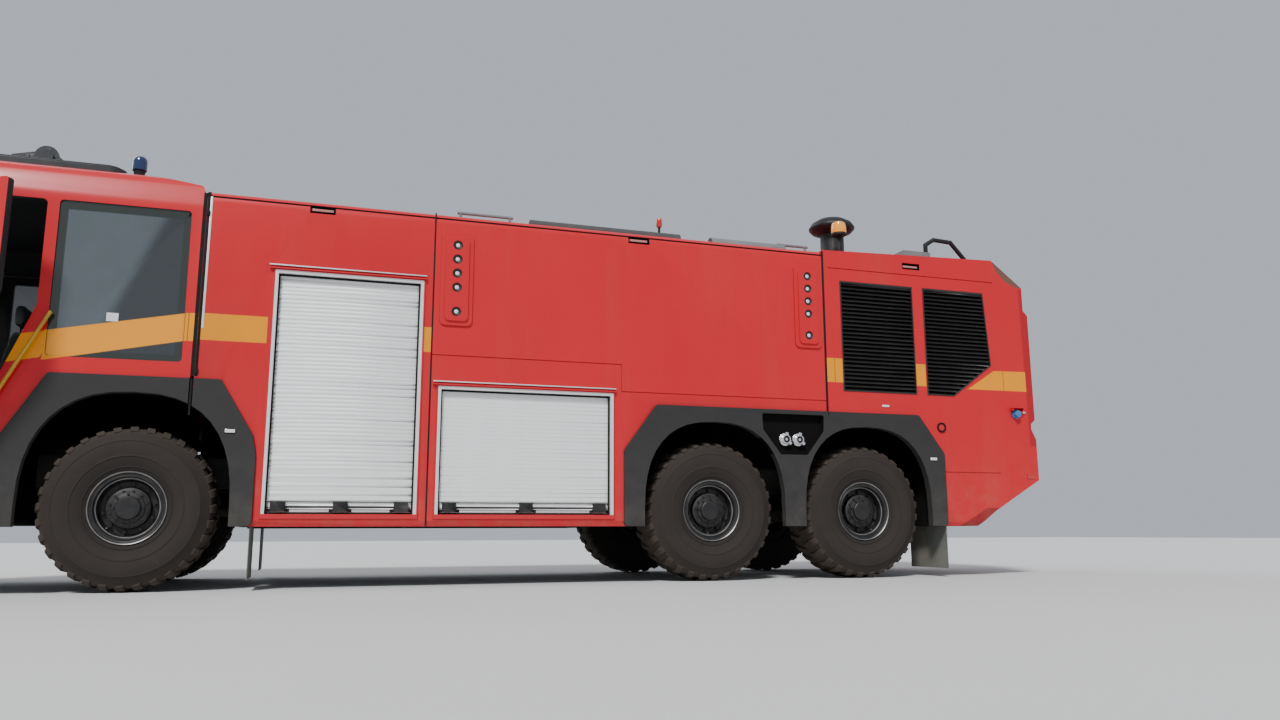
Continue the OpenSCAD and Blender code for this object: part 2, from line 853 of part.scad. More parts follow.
module body_mid() {
    seam_low = shutter_low_top + 5;
    color(red) difference() {
        lengthwise(mid_x0, mid_x1) section_outline();
        bogie_wells();
        arch_notch(rear_arch_out, x2);
        shutter_pocket(shutter_mid);
        marker_recess(marker_xs[1]);
        seam([panel_seam_x, panel_seam_z], [mid_x1, panel_seam_z + seam_w]);
        seam([panel_seam_x, seam_low], [panel_seam_x + seam_w, panel_seam_z + seam_w]);
        seam([mid_x0, seam_low], [panel_seam_x + seam_w, seam_low + seam_w]);
    }
}

// Side outline of the rear section, from its front lower corner round the roof, the tailgate and the tail
tail_step = 55;
bay_floor_z = 2 * tyre_r + bogie_lift + bay_wall;

tail_slope = 450;
tail_brow_z = roof_z - 225;
tail_seam_z = roof_z - 195;

module rear_side_outline(d = 0) {
    offset(delta = -d) polygon([[rear_x1, skirt_z], [rear_x1, roof_z], [x_rear + tail_slope, roof_z],
        [x_rear + tail_step, tail_brow_z], [x_rear + tail_step, roof_z - 490], [x_rear, roof_z - 545],
        [x_rear, 1700], [x_rear + tail_step, 1650], [x_rear + tail_step, 1590], [x_rear, 1480],
        [x_rear, 1030],
        [x_rear + 600, 690], [x_rear + 830, skirt_z]]);
}

// The rear section's side panels, which rise over the roof towards the tail
module side_lips() {
    both_sides() between(half_w - lip_w, half_w) polygon([[rear_x1, tail_brow_z], [rear_x1, roof_z],
        [x_rear + tail_slope, roof_z + lip_rise], [x_rear + tail_step, tail_brow_z]]);
}

grille_top = roof_z - grille_drop;
grille_front = mid_x0 - 205;
grille_mid = grille_front - grille_l;
grille_post = 135;
grille_rear = x_rear + 600;
grille_1 = [[grille_mid, grille_z], [grille_mid, grille_top], [grille_front, grille_top],
    [grille_front, grille_z]];
grille_2 = [[grille_rear + 455, grille_z], [grille_rear - 55, grille_z + 365], [grille_rear, grille_top],
    [grille_mid - grille_post, grille_top], [grille_mid - grille_post, grille_z]];
tail_grille_half = 900;
tail_grille_z = 1780;
tail_grille_h = 1080;
skirt_seam_z = 1095;
tail_lamp_y = 1240;
tail_lamp_zs = [1130, 1270, 1410];
tail_lamp_r = 58;

module body_rear() {
    color(red) difference() {
        union() {
            intersection() {
                across(body_w) rear_side_outline();
                lengthwise(x_rear - 100, rear_x1) section_outline();
            }
            side_lips();
        }
        intersection() {
            across(body_w - 2 * bay_wall) rear_side_outline(bay_wall);
            box([x_rear, -half_w, bay_floor_z], [rear_x1, half_w, roof_z - bay_wall]);
        }
        box([x_rear + 300, -well_in, 0], [rear_x1 - bay_wall, well_in, bay_floor_z + 10]);
        bogie_wells();
        arch_notch(rear_arch_out, x2);
        across(far) polygon(grille_1);
        across(far) polygon(grille_2);
        box([x_rear - 100, -tail_grille_half, tail_grille_z],
            [x_rear + 150, tail_grille_half, tail_grille_z + tail_grille_h]);
        marker_recess(marker_xs[2]);
        seam([x_rear + tail_slope, tail_seam_z], [rear_x1 - 60, tail_seam_z + seam_w]);
        seam([x_rear + tail_slope + 50, skirt_seam_z], [x3 - rear_flare_aft + bogie_pitch,
            skirt_seam_z + seam_w]);
        both_sides() for (z = tail_lamp_zs) front_disc(x_rear - 10, tail_lamp_y, z, tail_lamp_r + seat_gap,
            35);
    }
}

// The engine, as one plain block, and the radiator behind the tail's grille
engine_half = 420;
engine_h = 1000;
radiator_x = x_rear + 175;
radiator_t = 120;
radiator_half = tail_grille_half - 20;

module engine_block() {
    color(steel) {
        box([x_rear + engine_half, -engine_half, deck_z], [x3 - 350, engine_half, deck_z + engine_h]);
        box([radiator_x, -radiator_half, bay_floor_z + seat_gap],
            [radiator_x + radiator_t, radiator_half, tail_grille_z + tail_grille_h + 30]);
    }
}

// Rolling shutters: flat slats with narrow grooves over a ribbed end rail, and their frames

shutter_back = half_w - pocket_t + seat_gap;
shutter_face = shutter_back + slat_t;
slat_groove = 3;
rail_rib = 10;
rib_h = 16;

module slats(s) {
    z_a = s[0][1] + frame_w + seat_gap;
    z_b = s[1][1] - frame_w - seat_gap;
    z_0 = z_a + end_rail_h;
    count = floor((z_b - z_0) / slat_h);
    pitch = (z_b - z_0) / count;
    rib = shutter_face + rail_rib;
    both_sides() lengthwise(x1 + s[0][0] + frame_w + seat_gap, x1 + s[1][0] - frame_w - seat_gap)
        polygon(concat([[shutter_back, z_b], [shutter_back, z_a], [rib, z_a], [rib, z_a + rib_h],
            [shutter_face, z_a + rib_h + 4], [shutter_face, z_0 - rib_h - 4], [rib, z_0 - rib_h],
            [rib, z_0 - 4]],
            [for (i = [0:count - 1]) each [[shutter_face - slat_groove, z_0 + i * pitch],
                [shutter_face, z_0 + i * pitch + slat_groove],
                [shutter_face, z_0 + (i + 1) * pitch - slat_groove]]],
            [[shutter_face, z_b]]));
}

// Lift bar of a shutter, on three latch blocks with their foot plates
module lift_bar(s) {
    block = 62;
    plate = 95;
    block_h = 42;
    x_a = x1 + s[0][0] + frame_w + plate + 8;
    x_b = x1 + s[1][0] - frame_w - plate - 8;
    y = shutter_face - 1;
    z = s[0][1] + frame_w + end_rail_h / 2;
    both_sides() {
        bar([x_a, y + 26, z], [x_b, y + 26, z], 9);
        for (x = [x_a, (x_a + x_b) / 2, x_b]) {
            box([x - block, y, z - block_h], [x + block, y + 36, z + block_h]);
            box([x - plate, y, z - block_h], [x + plate, y + 20, z - block_h + 26]);
        }
    }
}

module shutters_front() {
    color(pale_grey) slats(shutter_front);
    color(pale_grey) lift_bar(shutter_front);
}

module shutters_mid() {
    color(pale_grey) slats(shutter_mid);
    color(pale_grey) lift_bar(shutter_mid);
}

drip_h = 30;
drip_proud = 30;

module shutter_frames() {
    color(steel) for (s = [shutter_front, shutter_mid]) both_sides() {
        difference() {
            box([x1 + s[0][0] + seat_gap, shutter_back, s[0][1] + seat_gap],
                [x1 + s[1][0] - seat_gap, half_w + 12, s[1][1] - seat_gap]);
            box([x1 + s[0][0] + frame_w, 0, s[0][1] + frame_w],
                [x1 + s[1][0] - frame_w, far, s[1][1] - frame_w]);
        }
        lengthwise(x1 + s[0][0] - 10, x1 + s[1][0] + 40) polygon([[half_w + seat_gap, s[1][1] + 4],
            [half_w + drip_proud, s[1][1] - 4], [half_w + drip_proud, s[1][1]],
            [half_w + 4, s[1][1] + drip_h],
            [half_w + seat_gap, s[1][1] + drip_h]]);
    }
}

// Grilles: a frame that follows the outline, and leaning slats between its bars

grille_bar = 12;
louvre_w = 56;

module louvre(points) {
    both_sides() {
        between(half_w - 40, half_w + 6) difference() {
            offset(delta = -seat_gap) polygon(points);
            offset(delta = -grille_bar) polygon(points);
        }
        intersection() {
            between(half_w - 60, half_w + 20) offset(delta = 1 - grille_bar) polygon(points);
            for (z = [grille_z + louvre_pitch / 2:louvre_pitch:grille_top - 5])
                translate([(x_rear + rear_x1) / 2, half_w - 18, z])
                    rotate([-louvre_lean, 0, 0]) cube([rear_x1 - x_rear, louvre_w, louvre_t], center = true);
        }
    }
}

module tail_louvre() {
    w = tail_grille_half - seat_gap;
    translate([x_rear + 22, 0, tail_grille_z + tail_grille_h / 2]) difference() {
        cube([40, 2 * w, tail_grille_h - 2 * seat_gap], center = true);
        cube([60, 2 * w - 100, tail_grille_h - 100], center = true);
    }
    for (z = [tail_grille_z + 80:louvre_pitch:tail_grille_z + tail_grille_h - 70])
        translate([x_rear + 22, 0, z]) rotate([0, -louvre_lean, 0])
            cube([44, 2 * w - 98, louvre_t], center = true);
}

module louvre_grilles() {
    color(black) {
        louvre(grille_1);
        louvre(grille_2);
        tail_louvre();
    }
}

// Roof: side rails, hose covers, tank lids, a walkway and hatches

roof_y = half_w - 200;
roof_seat = roof_z + seat_gap;
lid_h = 55;
hose_cover_r = 75;
lid_r = 260;
walk_y = 480;
plate_half = 560;
vent_half = 320;
hatch_x0 = rear_x1 - 1480;
rail_x = mid_x1 - 760;

module side_rail(a, b) {
    z = roof_z + 75;
    bar([a, roof_y, z], [b, roof_y, z], 15);
    for (x = [a + 30, b - 30]) bar([x, roof_y, roof_seat], [x, roof_y, z], 13);
}

module hose_cover(a, b) {
    lengthwise(a, b) translate([roof_y, roof_seat]) polygon(arc([0, 0], hose_cover_r, 0, 180, 12));
}

module tank_lid(x, y, r) {
    translate([x, y, roof_seat]) {
        cylinder(r = r, h = lid_h, $fn = 64);
        cylinder(r = r - 50, h = lid_h + 12, $fn = 64);
        translate([0, 0, lid_h]) for (s = [-1, 1]) translate([-15, s * (r - 90) - 15, 0]) cube([30, 30, 60]);
        bar([0, 90 - r, lid_h + 50], [0, r - 90, lid_h + 50], 12);
    }
}

module roof_deck() {
    color(steel) {
        both_sides() {
            side_rail(rail_x, rail_x + 540);
            side_rail(mid_x0 + 60, mid_x0 + 420);
        }
        for (x = [mid_x1 - 900, mid_x1 - 2500]) tank_lid(x, 0, lid_r);
        tank_lid(mid_x0 + 620, 0, lid_r - 60);
    }
    color(dark_grey) {
        both_sides() {
            hose_cover(rail_x - 1740, rail_x - 170);
            hose_cover(rail_x - 2940, rail_x - 2090);
        }
        both_sides() box([mid_x0 + 80, walk_y, roof_seat], [mid_x1 - 80, walk_y + 400, roof_seat + 8]);
        box([front_x0 + 150, -plate_half, roof_seat], [front_x1 - 250, plate_half, roof_seat + 45]);
        box([hatch_x0, roof_y - 320, roof_seat], [hatch_x0 + 350, roof_y + 30, roof_seat + 150]);
        for (x = [rear_x1 - 700, rear_x1 - 1500]) difference() {
            box([x - vent_half, -plate_half, roof_seat], [x + vent_half, plate_half, roof_seat + 40]);
            for (y = [60 - plate_half:100:plate_half - 140])
                box([x - vent_half + 50, y, roof_seat + 15], [x + vent_half - 50, y + 60, far]);
        }
    }
}

// Roof monitor: a fixed drum on the cab's cover, a turning fork and a tilting barrel

cover_half = half_w - 200;
turret_z = cab_roof_z + seat_gap + cover_h + drum_h;
trunnion_z = turret_z + trunnion_lift;
spigot_l = 60;
fork_gap = 8;
fork_t = 38;
barrel_half = 100;
fork_y = barrel_half + fork_gap;

module monitor_bases() {
    x = x1 + turret_x;
    cover_a = x1 - cab_tail + 670;
    cover_b = x1 + brow_x - 110;
    color(dark_grey) difference() {
        union() {
            translate([0, 0, cab_roof_z + seat_gap]) linear_extrude(height = cover_h - 25) soft(120)
                translate([cover_a, -cover_half]) square([cover_b - cover_a, 2 * cover_half]);
            translate([0, 0, cab_roof_z + seat_gap]) linear_extrude(height = cover_h) soft(120)
                translate([cover_a + 35, -cover_half + 35]) square([cover_b - cover_a - 70,
                    2 * cover_half - 70]);
            translate([x, 0, cab_roof_z + cover_h]) cylinder(r = 230, h = 30, $fn = 64);
            translate([x, 0, cab_roof_z + cover_h]) cylinder(r = 190, h = drum_h + seat_gap, $fn = 64);
        }
        translate([x, 0, turret_z - spigot_l - 10]) cylinder(r = spigot_r + run_gap, h = 2 * spigot_l,
            $fn = 40);
        for (y = [-900:300:600]) box([cover_a + 120, y, cab_roof_z + cover_h - 12],
            [cover_a + 520, y + 240, far]);
    }
}

module roof_monitor_yoke() {
    gap = 2 * seat_gap;
    color(dark_grey) translate([x1 + turret_x, 0, turret_z]) {
        translate([0, 0, -spigot_l]) cylinder(r = spigot_r, h = spigot_l + 20, $fn = 40);
        translate([0, 0, gap]) cylinder(r = 180, h = 50, $fn = 64);
        translate([0, 0, gap + 50]) cylinder(r = 120, h = 60, $fn = 48);
        translate([0, 0, gap + 50]) linear_extrude(height = 50) soft(30)
            square([240, 2 * (fork_y + fork_t)], center = true);
        for (side = [0, 1]) mirror([0, side, 0]) {
            between(fork_y, fork_y + fork_t) {
                translate([-105, 60]) square([210, trunnion_lift - 60]);
                translate([0, trunnion_lift]) circle(r = 105, $fn = 48);
            }
            side_disc(0, fork_y + fork_t - 1, trunnion_lift, 62, 26);
        }
        box([-60, fork_y + fork_t - 1, 90], [60, fork_y + fork_t + 70, trunnion_lift - 90]);
        side_disc(0, -fork_y - 1, trunnion_lift, trunnion_r, 2 * fork_y + 2);
    }
}

module roof_monitor_barrel() {
    hub = 85;
    throat = 190;
    nozzle = turret_l - 250;
    color(dark_grey) translate([x1 + turret_x, 0, trunnion_z]) rotate([0, droop, 0]) difference() {
        union() {
            side_disc(0, -barrel_half, 0, hub, 2 * barrel_half);
            front_disc(0, 0, 0, 72, throat);
            front_disc(throat - 30, 0, 0, 88, 30);
            rotate([0, 90, 0]) cylinder(r1 = 68, r2 = 58, h = nozzle, $fn = 48);
            front_disc(nozzle - 180, 0, 0, 74, 40);
            translate([nozzle - 1, 0, 0]) rotate([0, 90, 0])
                cylinder(r1 = 62, r2 = 95, h = turret_l - nozzle + 1, $fn = 48);
            front_disc(turret_l - 45, 0, 0, 99, 45);
            translate([0, 0, 76]) box([40, -30, -20], [throat + 120, 30, 30]);
        }
        side_disc(0, -barrel_half - 1, 0, trunnion_r + run_gap, 2 * barrel_half + 2);
        translate([nozzle + 50, 0, 0]) rotate([0, 90, 0]) cylinder(r1 = 45, r2 = 84, h = turret_l - nozzle,
            $fn = 48);
    }
}

nose_x_pin = bumper_x - nose_set;
nose_pin_z = bumper_top + 130;
nose_half_w = 50;
nose_fork_t = 25;

module bumper_monitor_yoke() {
    y0 = nose_half_w + 5;
    color(dark_grey) translate([nose_x_pin, 0, 0]) {
        translate([0, 0, bumper_top - 40]) cylinder(r = spigot_r, h = 60, $fn = 40);
        translate([0, 0, bumper_top + 2 * seat_gap]) cylinder(r = 90, h = 35, $fn = 48);
        for (side = [0, 1]) mirror([0, side, 0]) between(y0, y0 + nose_fork_t) {
            translate([-42, bumper_top + 30]) square([84, nose_pin_z - bumper_top - 30]);
            translate([0, nose_pin_z]) circle(r = 42, $fn = 40);
        }
        side_disc(0, -y0 - 1, nose_pin_z, nose_pin_r, 2 * y0 + 2);
    }
}

module bumper_monitor_barrel() {
    color(dark_grey) translate([nose_x_pin, 0, nose_pin_z]) difference() {
        union() {
            side_disc(0, -nose_half_w, 0, 44, 2 * nose_half_w);
            rotate([0, 90, 0]) cylinder(r1 = 40, r2 = 30, h = nose_barrel_l - 60, $fn = 40);
            translate([nose_barrel_l - 61, 0, 0]) rotate([0, 90, 0])
                cylinder(r1 = 31, r2 = 42, h = 61, $fn = 40);
        }
        side_disc(0, -nose_half_w - 1, 0, nose_pin_r + run_gap, 2 * nose_half_w + 2);
        translate([nose_barrel_l - 100, 0, 0]) rotate([0, 90, 0])
            cylinder(r1 = 20, r2 = 33, h = 110, $fn = 40);
    }
}

// Scene-light pods: two stepped plates with sockets for their lamps

pod_top = roof_z - 190;
pod_h = 890;
pod_half = 150;
pod_t = 16;
pod_lamp_r = 44;
pod_lamp_zs = [pod_top - 125, pod_top - 260, pod_top - 395, pod_top - 530, pod_top - 760];
pod_xs = [mid_x1 - 205, mid_x0 + 195];

module lamp_pods() {
    color(red) both_sides() for (x = pod_xs) difference() {
        union() {
            between(half_w + seat_gap, half_w + pod_t) soft(50)
                translate([x - pod_half, pod_top - pod_h]) square([2 * pod_half, pod_h]);
            between(half_w + seat_gap, half_w + 2 * pod_t) soft(40)
                translate([x - pod_half + 42, pod_top - pod_h + 42]) square([2 * pod_half - 84, pod_h - 84]);
        }
        for (z = pod_lamp_zs) side_disc(x, half_w + pod_t - 4, z, pod_lamp_r, far);
    }
}

// Lamps, each set into or onto its carrier: columns are x, y of the seat, z, radius and length
module round_lamp(x, y, z, r, h) {
    side_disc(x, y + seat_gap, z, r, h);
}

small_markers = [[x1 - flare_aft + 215, flare_leg_z + 197], [x2 - rear_flare_aft + 150, rear_leg_z - 56]];

amber_x = x3 + 128;
amber_y = roof_y + 20;
amber_foot_h = 235;
lamp_seat_x = bumper_x - lamp_depth + seat_gap;
reflector_z = skirt_seam_z - 50;

module lamps() {
    color("white") {
        both_sides() {
            for (x = pod_xs) for (z = pod_lamp_zs) round_lamp(x, half_w + pod_t - 4, z, pod_lamp_r - 10,
                pod_t);
            for (x = marker_xs) box([x - marker_half + 10, half_w - marker_depth + seat_gap, marker_z - 15],
                [x + marker_half - 10, half_w - 12, marker_z + 15]);
            for (m = small_markers) box([m[0] - 45, half_w + flare_proud + seat_gap, m[1] - 18],
                [m[0] + 45, half_w + flare_proud + 12, m[1] + 18]);
            for (y = [lamp_y - 115, lamp_y + 75]) front_disc(lamp_seat_x, y, lamp_z, 82, 60);
            box([lamp_seat_x, lamp_y + 165, lamp_z - 80], [bumper_x - 35, lamp_y + 220, lamp_z + 80]);
            round_lamp(rear_x1 - 690, half_w, grille_z - 140, 22, 10);
            for (z = tail_lamp_zs) front_disc(x_rear - 8, tail_lamp_y, z, tail_lamp_r, 33 - seat_gap);
            box([x_rear + 60, half_w + seat_gap, reflector_z], [x_rear + 160, half_w + 9, reflector_z + 55]);
            translate([x2 + 452, roof_y - hose_cover_r - 65, roof_seat]) cylinder(r = 32, h = 285, $fn = 32);
            translate([amber_x, amber_y, roof_seat + amber_foot_h]) cylinder(r = 85, h = 165, $fn = 40);
        }
    }
}

module beacons() {
    foot_r = 50;
    foot_h = 150;
    dome_r = 62;
    dome_h = 115;
    color("blue") both_sides() translate([x1 + 195, 1000, cab_roof_z + seat_gap]) {
        cylinder(r = foot_r, h = foot_h, $fn = 40);
        translate([0, 0, foot_h]) cylinder(r = dome_r, h = dome_h, $fn = 40);
        translate([0, 0, foot_h + dome_h]) cylinder(r1 = dome_r, r2 = dome_r - 20, h = 20, $fn = 40);
    }
}

// Intake pipe with its rain cap, and the feet of the warning lamps beside it
cap_y = 950;

module vent_cap() {
    pole_r = 132;
    pole_h = 370;
    cap_section = [[0, 355], [pole_r - 10, 355], [225, 395], [256, 430], [258, 445], [225, 495], [150, 540],
        [60, 568],
        [0, 572]];
    color(black) {
        translate([x3, cap_y, roof_seat]) {
            cylinder(r = pole_r, h = pole_h, $fn = 48);
            cylinder(r = pole_r + 33, h = 30, $fn = 48);
            rotate_extrude($fn = 64) polygon(cap_section);
        }
        both_sides() translate([amber_x, amber_y, roof_seat])
            cylinder(r = 22, h = amber_foot_h - seat_gap, $fn = 32);
    }
}

hoop_h = 350;
hoop_l = 610;

module roof_hoops() {
    a = hatch_x0 - 35;
    z = roof_z + hoop_h;
    y = roof_y - 100;
    color(black) both_sides()
        tube([[a, y, roof_seat], [a, y, z - 70], [a - 110, y, z], [a - 340, y, z - 10],
            [a - hoop_l, y, roof_z + 60],
            [a - hoop_l, y, roof_seat]], 25);
}

module rear_ladder() {
    x = x_rear - 70;
    y = tail_lamp_y - 340;
    w = 320;
    for (side = [y, y + w]) {
        bar([x, -side, 1150], [x, -side, roof_z - 600], 16);
        for (z = [1200, roof_z - 640]) bar([x, -side, z], [x_rear - seat_gap, -side, z], 14);
    }
    for (z = [1270:290:roof_z - 640]) bar([x, -y, z], [x, -y - w, z], 13);
}

module handrails() {
    a = [x1 + door_rear - 110, door_knee_z - 70];
    b = [x1 + door_foot_x - 140, 1500];
    color(yellow) {
        both_sides() {
            bar([a[0], half_w + 50, a[1]], [b[0], half_w + 50, b[1]], 15);
            for (p = [a, b]) side_disc(p[0], half_w + seat_gap, p[1], 12, 60);
        }
        rear_ladder();
    }
}

// Chassis

module rail() {
    y = rail_span / 2;
    difference() {
        box([x_rear + rail_end, y - rail_flange, rail_z], [nose_x - rail_set, y, rail_top]);
        box([x_rear, y - rail_flange - 1, rail_z + rail_t], [nose_x, y - rail_t, rail_top - rail_t]);
    }
}

beam_t = 90;

module chassis_frame() {
    inner_w = rail_span - 2 * rail_t;
    case_x = (x1 + x2) / 2;
    color(dark_grey) {
        both_sides() rail();
        for (x = [x_rear + rail_end + beam_t, x3, x2, (x2 + case_x) / 2, case_x, (case_x + x1) / 2, x1,
            nose_x - rail_set - beam_t])
            translate([x, 0, rail_z + rail_h / 2]) cube([beam_t, inner_w, rail_h - 2 * rail_t],
                center = true);
        transfer_case(case_x);
        tow_eye();
    }
}

case_half = 260;
case_w = 170;

module transfer_case(x) {
    box([x - case_half, -case_w, hub_z - 130], [x + case_half, case_w, rail_z + rail_t + 1]);
    for (s = [-1, 1]) translate([x + s * case_half, 0, hub_z]) rotate([0, s * 90, 0])
        cylinder(r = 95, h = 40, $fn = 40);
}

// Towing eye on the last cross-beam
module tow_eye() {
    z = rail_z + rail_h / 2;
    x = x_rear + 10;
    difference() {
        union() {
            box([x, -90, z - tow_t / 2], [x_rear + rail_end + beam_t, 90, z + tow_t / 2]);
            translate([x, 0, z - tow_t / 2]) cylinder(r = 90, h = tow_t, $fn = 48);
        }
        translate([x, 0, z - tow_t]) cylinder(r = tow_r, h = 2 * tow_t, $fn = 48);
    }
}

spring_y = rail_span / 2 - rail_flange / 2;

// A coil spring, drawn as closed turns on its damper, from the axle tube to the rail
module spring() {
    seat_t = 16;
    z0 = hub_z + axle_r - 12;
    z1 = rail_z - seat_gap;
    translate([0, spring_y, 0]) {
        translate([0, 0, hub_z]) cylinder(r = 30, h = z1 - hub_z, $fn = 32);
        for (z = [z0, z1 - seat_t]) translate([0, 0, z]) cylinder(r = spring_r + wire_r, h = seat_t,
            $fn = 40);
        for (i = [1:spring_turns]) translate([0, 0, z0 + i * (z1 - z0) / (spring_turns + 1)])
            rotate_extrude($fn = 40) translate([spring_r, 0]) circle(r = wire_r, $fn = 16);
    }
}

tube_end = kingpin_y - 110;

module axle_housing() {
    translate([0, 0, hub_z]) {
        sphere(r = diff_r, $fn = 48);
        side_disc(0, -tube_end, 0, axle_r, 2 * tube_end);
    }
    both_sides() spring();
}

// Propeller shaft along the vehicle's middle, from a to b
module prop_shaft(a, b) {
    translate([a, 0, hub_z]) rotate([0, 90, 0]) cylinder(r = prop_r, h = b - a, $fn = 40);
    for (x = [a, b - 50]) translate([x, 0, hub_z]) rotate([0, 90, 0])
        cylinder(r = prop_r + 22, h = 50, $fn = 40);
}

shaft_end = case_half + 40 + seat_gap;

module front_axle() {
    web = 50;
    ear_z = knuckle_h / 2 + knuckle_gap + ear_t / 2;
    color(dark_grey) {
        translate([x1, 0, 0]) {
            axle_housing();
            both_sides() translate([0, kingpin_y, hub_z]) difference() {
                union() {
                    for (z = [-ear_z, ear_z]) translate([0, 0, z]) {
                        cylinder(r = ear_r, h = ear_t, center = true, $fn = 48);
                        translate([0, -70, 0]) cube([110, 140, ear_t], center = true);
                    }
                    translate([0, -100 - web / 2, 0]) cube([120, web, 2 * ear_z + ear_t], center = true);
                }
                cylinder(r = kingpin_r + run_gap, h = 4 * knuckle_h, center = true, $fn = 40);
            }
        }
        prop_shaft((x1 + x2) / 2 + shaft_end, x1 - diff_r + 25);
    }
}

module rear_axles() {
    brake_r = 130;
    brake_back = 115;
    color(dark_grey) {
        for (x = [x2, x3]) translate([x, 0, 0]) {
            axle_housing();
            both_sides() translate([0, kingpin_y - brake_back, hub_z]) rotate([-90, 0, 0]) {
                cylinder(r = brake_r, h = brake_back + hub_in - 2 * knuckle_gap, $fn = 48);
                cylinder(r = spindle_r, h = brake_back + hub_in + 150, $fn = 48);
            }
        }
        prop_shaft(x2 + diff_r - 25, (x1 + x2) / 2 - shaft_end);
        prop_shaft(x3 + diff_r - 25, x2 - diff_r + 25);
    }
}

module knuckle() {
    pin_l = knuckle_h + 2 * (knuckle_gap + ear_t);
    translate([x1, kingpin_y, hub_z]) {
        cylinder(r = 72, h = knuckle_h, center = true, $fn = 48);
        cylinder(r = kingpin_r, h = pin_l, center = true, $fn = 40);
        rotate([-90, 0, 0]) cylinder(r = spindle_r, h = hub_in + 150, $fn = 48);
        translate([-190, -20, -25]) cube([190, 40, 50]);
    }
}

module knuckle_left() {
    color(dark_grey) knuckle();
}

module knuckle_right() {
    color(dark_grey) mirror([0, 1, 0]) knuckle();
}

// Wheels, drawn about the hub with the outer side towards +Y

tread_r = tyre_r - lug_h;
side_r = tread_r - 135;
belly_r = side_r - 90;
bead_y = rim_w / 2;
wall_y = tyre_w / 2;
tyre_section = [[rim_r, 20 - bead_y], [flange_r + 6, -bead_y - 6], [belly_r, -wall_y], [side_r, 6 - wall_y],
    [tread_r - 40, 55 - wall_y], [tread_r, 120 - wall_y], [tread_r + 6, 0], [tread_r, wall_y - 120],
    [tread_r - 40, wall_y - 55], [side_r, wall_y - 6], [belly_r, wall_y], [flange_r + 6, bead_y + 6],
    [rim_r, bead_y - 20]];

module turned() {
    rotate([-90, 0, 0]) rotate_extrude($fn = 96) children();
}

lug_foot = tread_r - 70;
lug_section = [[lug_foot, 22], [tyre_r, 22], [tyre_r, wall_y - 92], [tyre_r - 20, wall_y - 52],
    [tread_r - 48, wall_y - 36], [lug_foot, wall_y - 80]];
lug_skew = 18;

module lugs(shift) {
    intersection() {
        turned() polygon(lug_section);
        for (i = [0:lug_count - 1]) rotate([0, (i + shift) * 360 / lug_count, 0])
            translate([tread_r - 100, 0, 0]) rotate([lug_skew, 0, 0]) translate([0, 0, -lug_w / 2])
                cube([200, tyre_w, lug_w]);
    }
}

module tyre_body() {
    turned() polygon(tyre_section);
    lugs(0);
    mirror([0, 1, 0]) lugs(0.5);
}

rim_in = rim_r - rim_wall;
rim_out = rim_r - seat_gap;
hub_y = hub_in - kingpin_offset;
ring_r = hub_r + 42;
rim_section = [[rim_in, -bead_y - 8], [flange_r, -bead_y - 20], [flange_r, -bead_y - 8],
    [rim_out, 20 - bead_y],
    [rim_out, bead_y - 20], [flange_r, bead_y + 8], [flange_r, bead_y + 20], [rim_in, bead_y + 8],
    [rim_in, 112], [ring_r + 6, 96], [ring_r, 118], [hub_r, 118], [hub_r, 178], [hub_r - 20, 192], [105, 198],
    [95, 226], [0, 230], [0, hub_y], [hub_r + 20, hub_y], [hub_r + 20, 60], [rim_in, 90]];

module rim_body() {
    difference() {
        turned() polygon(rim_section);
        translate([0, -kingpin_offset, 0]) rotate([-90, 0, 0])
            cylinder(r = spindle_r + run_gap, h = hub_in + 155, $fn = 48);
    }
}

axle_x = [x1, x2, x3];

module placed(axle, left) {
    mirror([0, left ? 0 : 1, 0]) translate([axle_x[axle - 1], tyre_y, hub_z]) children();
}

module tyre(axle, left) {
    color(rubber_tone) placed(axle, left) tyre_body();
}

module wheel(axle, left) {
    color(steel) placed(axle, left) rim_body();
}

// Hose couplings in the niche, with the shore-power socket and the air socket behind the wheels

module outlets() {
    seat_y = half_w + flare_proud - niche_t + seat_gap;
    socket_x = x_rear + 260;
    socket_z = 1755;
    socket_r = 52;
    color(steel) both_sides() {
        for (s = [-1, 1]) side_disc(niche_x + s * outlet_pitch / 2, seat_y, outlet_z, outlet_r, outlet_l);
        difference() {
            side_disc(x_rear + 1240, half_w + seat_gap, socket_z - 178, 55, 14);
            side_disc(x_rear + 1240, half_w + 4, socket_z - 178, 40, far);
        }
        side_disc(socket_x, half_w + seat_gap, socket_z, socket_r, 60);
        box([socket_x - 70, half_w + seat_gap, socket_z + socket_r + 8],
            [socket_x + 70, half_w + 75, socket_z + socket_r + 15]);
    }
}

chassis_frame();
cab_shell();
cab_floor();
cab_glass();
front_bumper();
cab_seats();
dashboard();
door_left();
door_left_glass();
door_right();
door_right_glass();
mirrors();
front_flares();
body_front();
body_mid();
body_rear();
engine_block();
shutters_front();
shutters_mid();
shutter_frames();
rear_flares();
louvre_grilles();
roof_deck();
monitor_bases();
roof_monitor_yoke();
roof_monitor_barrel();
bumper_monitor_yoke();
bumper_monitor_barrel();
lamp_pods();
lamps();
beacons();
vent_cap();
roof_hoops();
handrails();
front_axle();
rear_axles();
knuckle_left();
knuckle_right();
outlets();
tyre(1, true);  // tyre_1_left
tyre(1, false);  // tyre_1_right
tyre(2, true);  // tyre_2_left
tyre(2, false);  // tyre_2_right
tyre(3, true);  // tyre_3_left
tyre(3, false);  // tyre_3_right
wheel(1, true);  // wheel_1_left
wheel(1, false);  // wheel_1_right
wheel(2, true);  // wheel_2_left
wheel(2, false);  // wheel_2_right
wheel(3, true);  // wheel_3_left
wheel(3, false);  // wheel_3_right
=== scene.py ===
import json
from math import cos, hypot, radians, sin, tau
import bmesh
from bmesh import ops
import bpy
from mathutils import Matrix, Vector


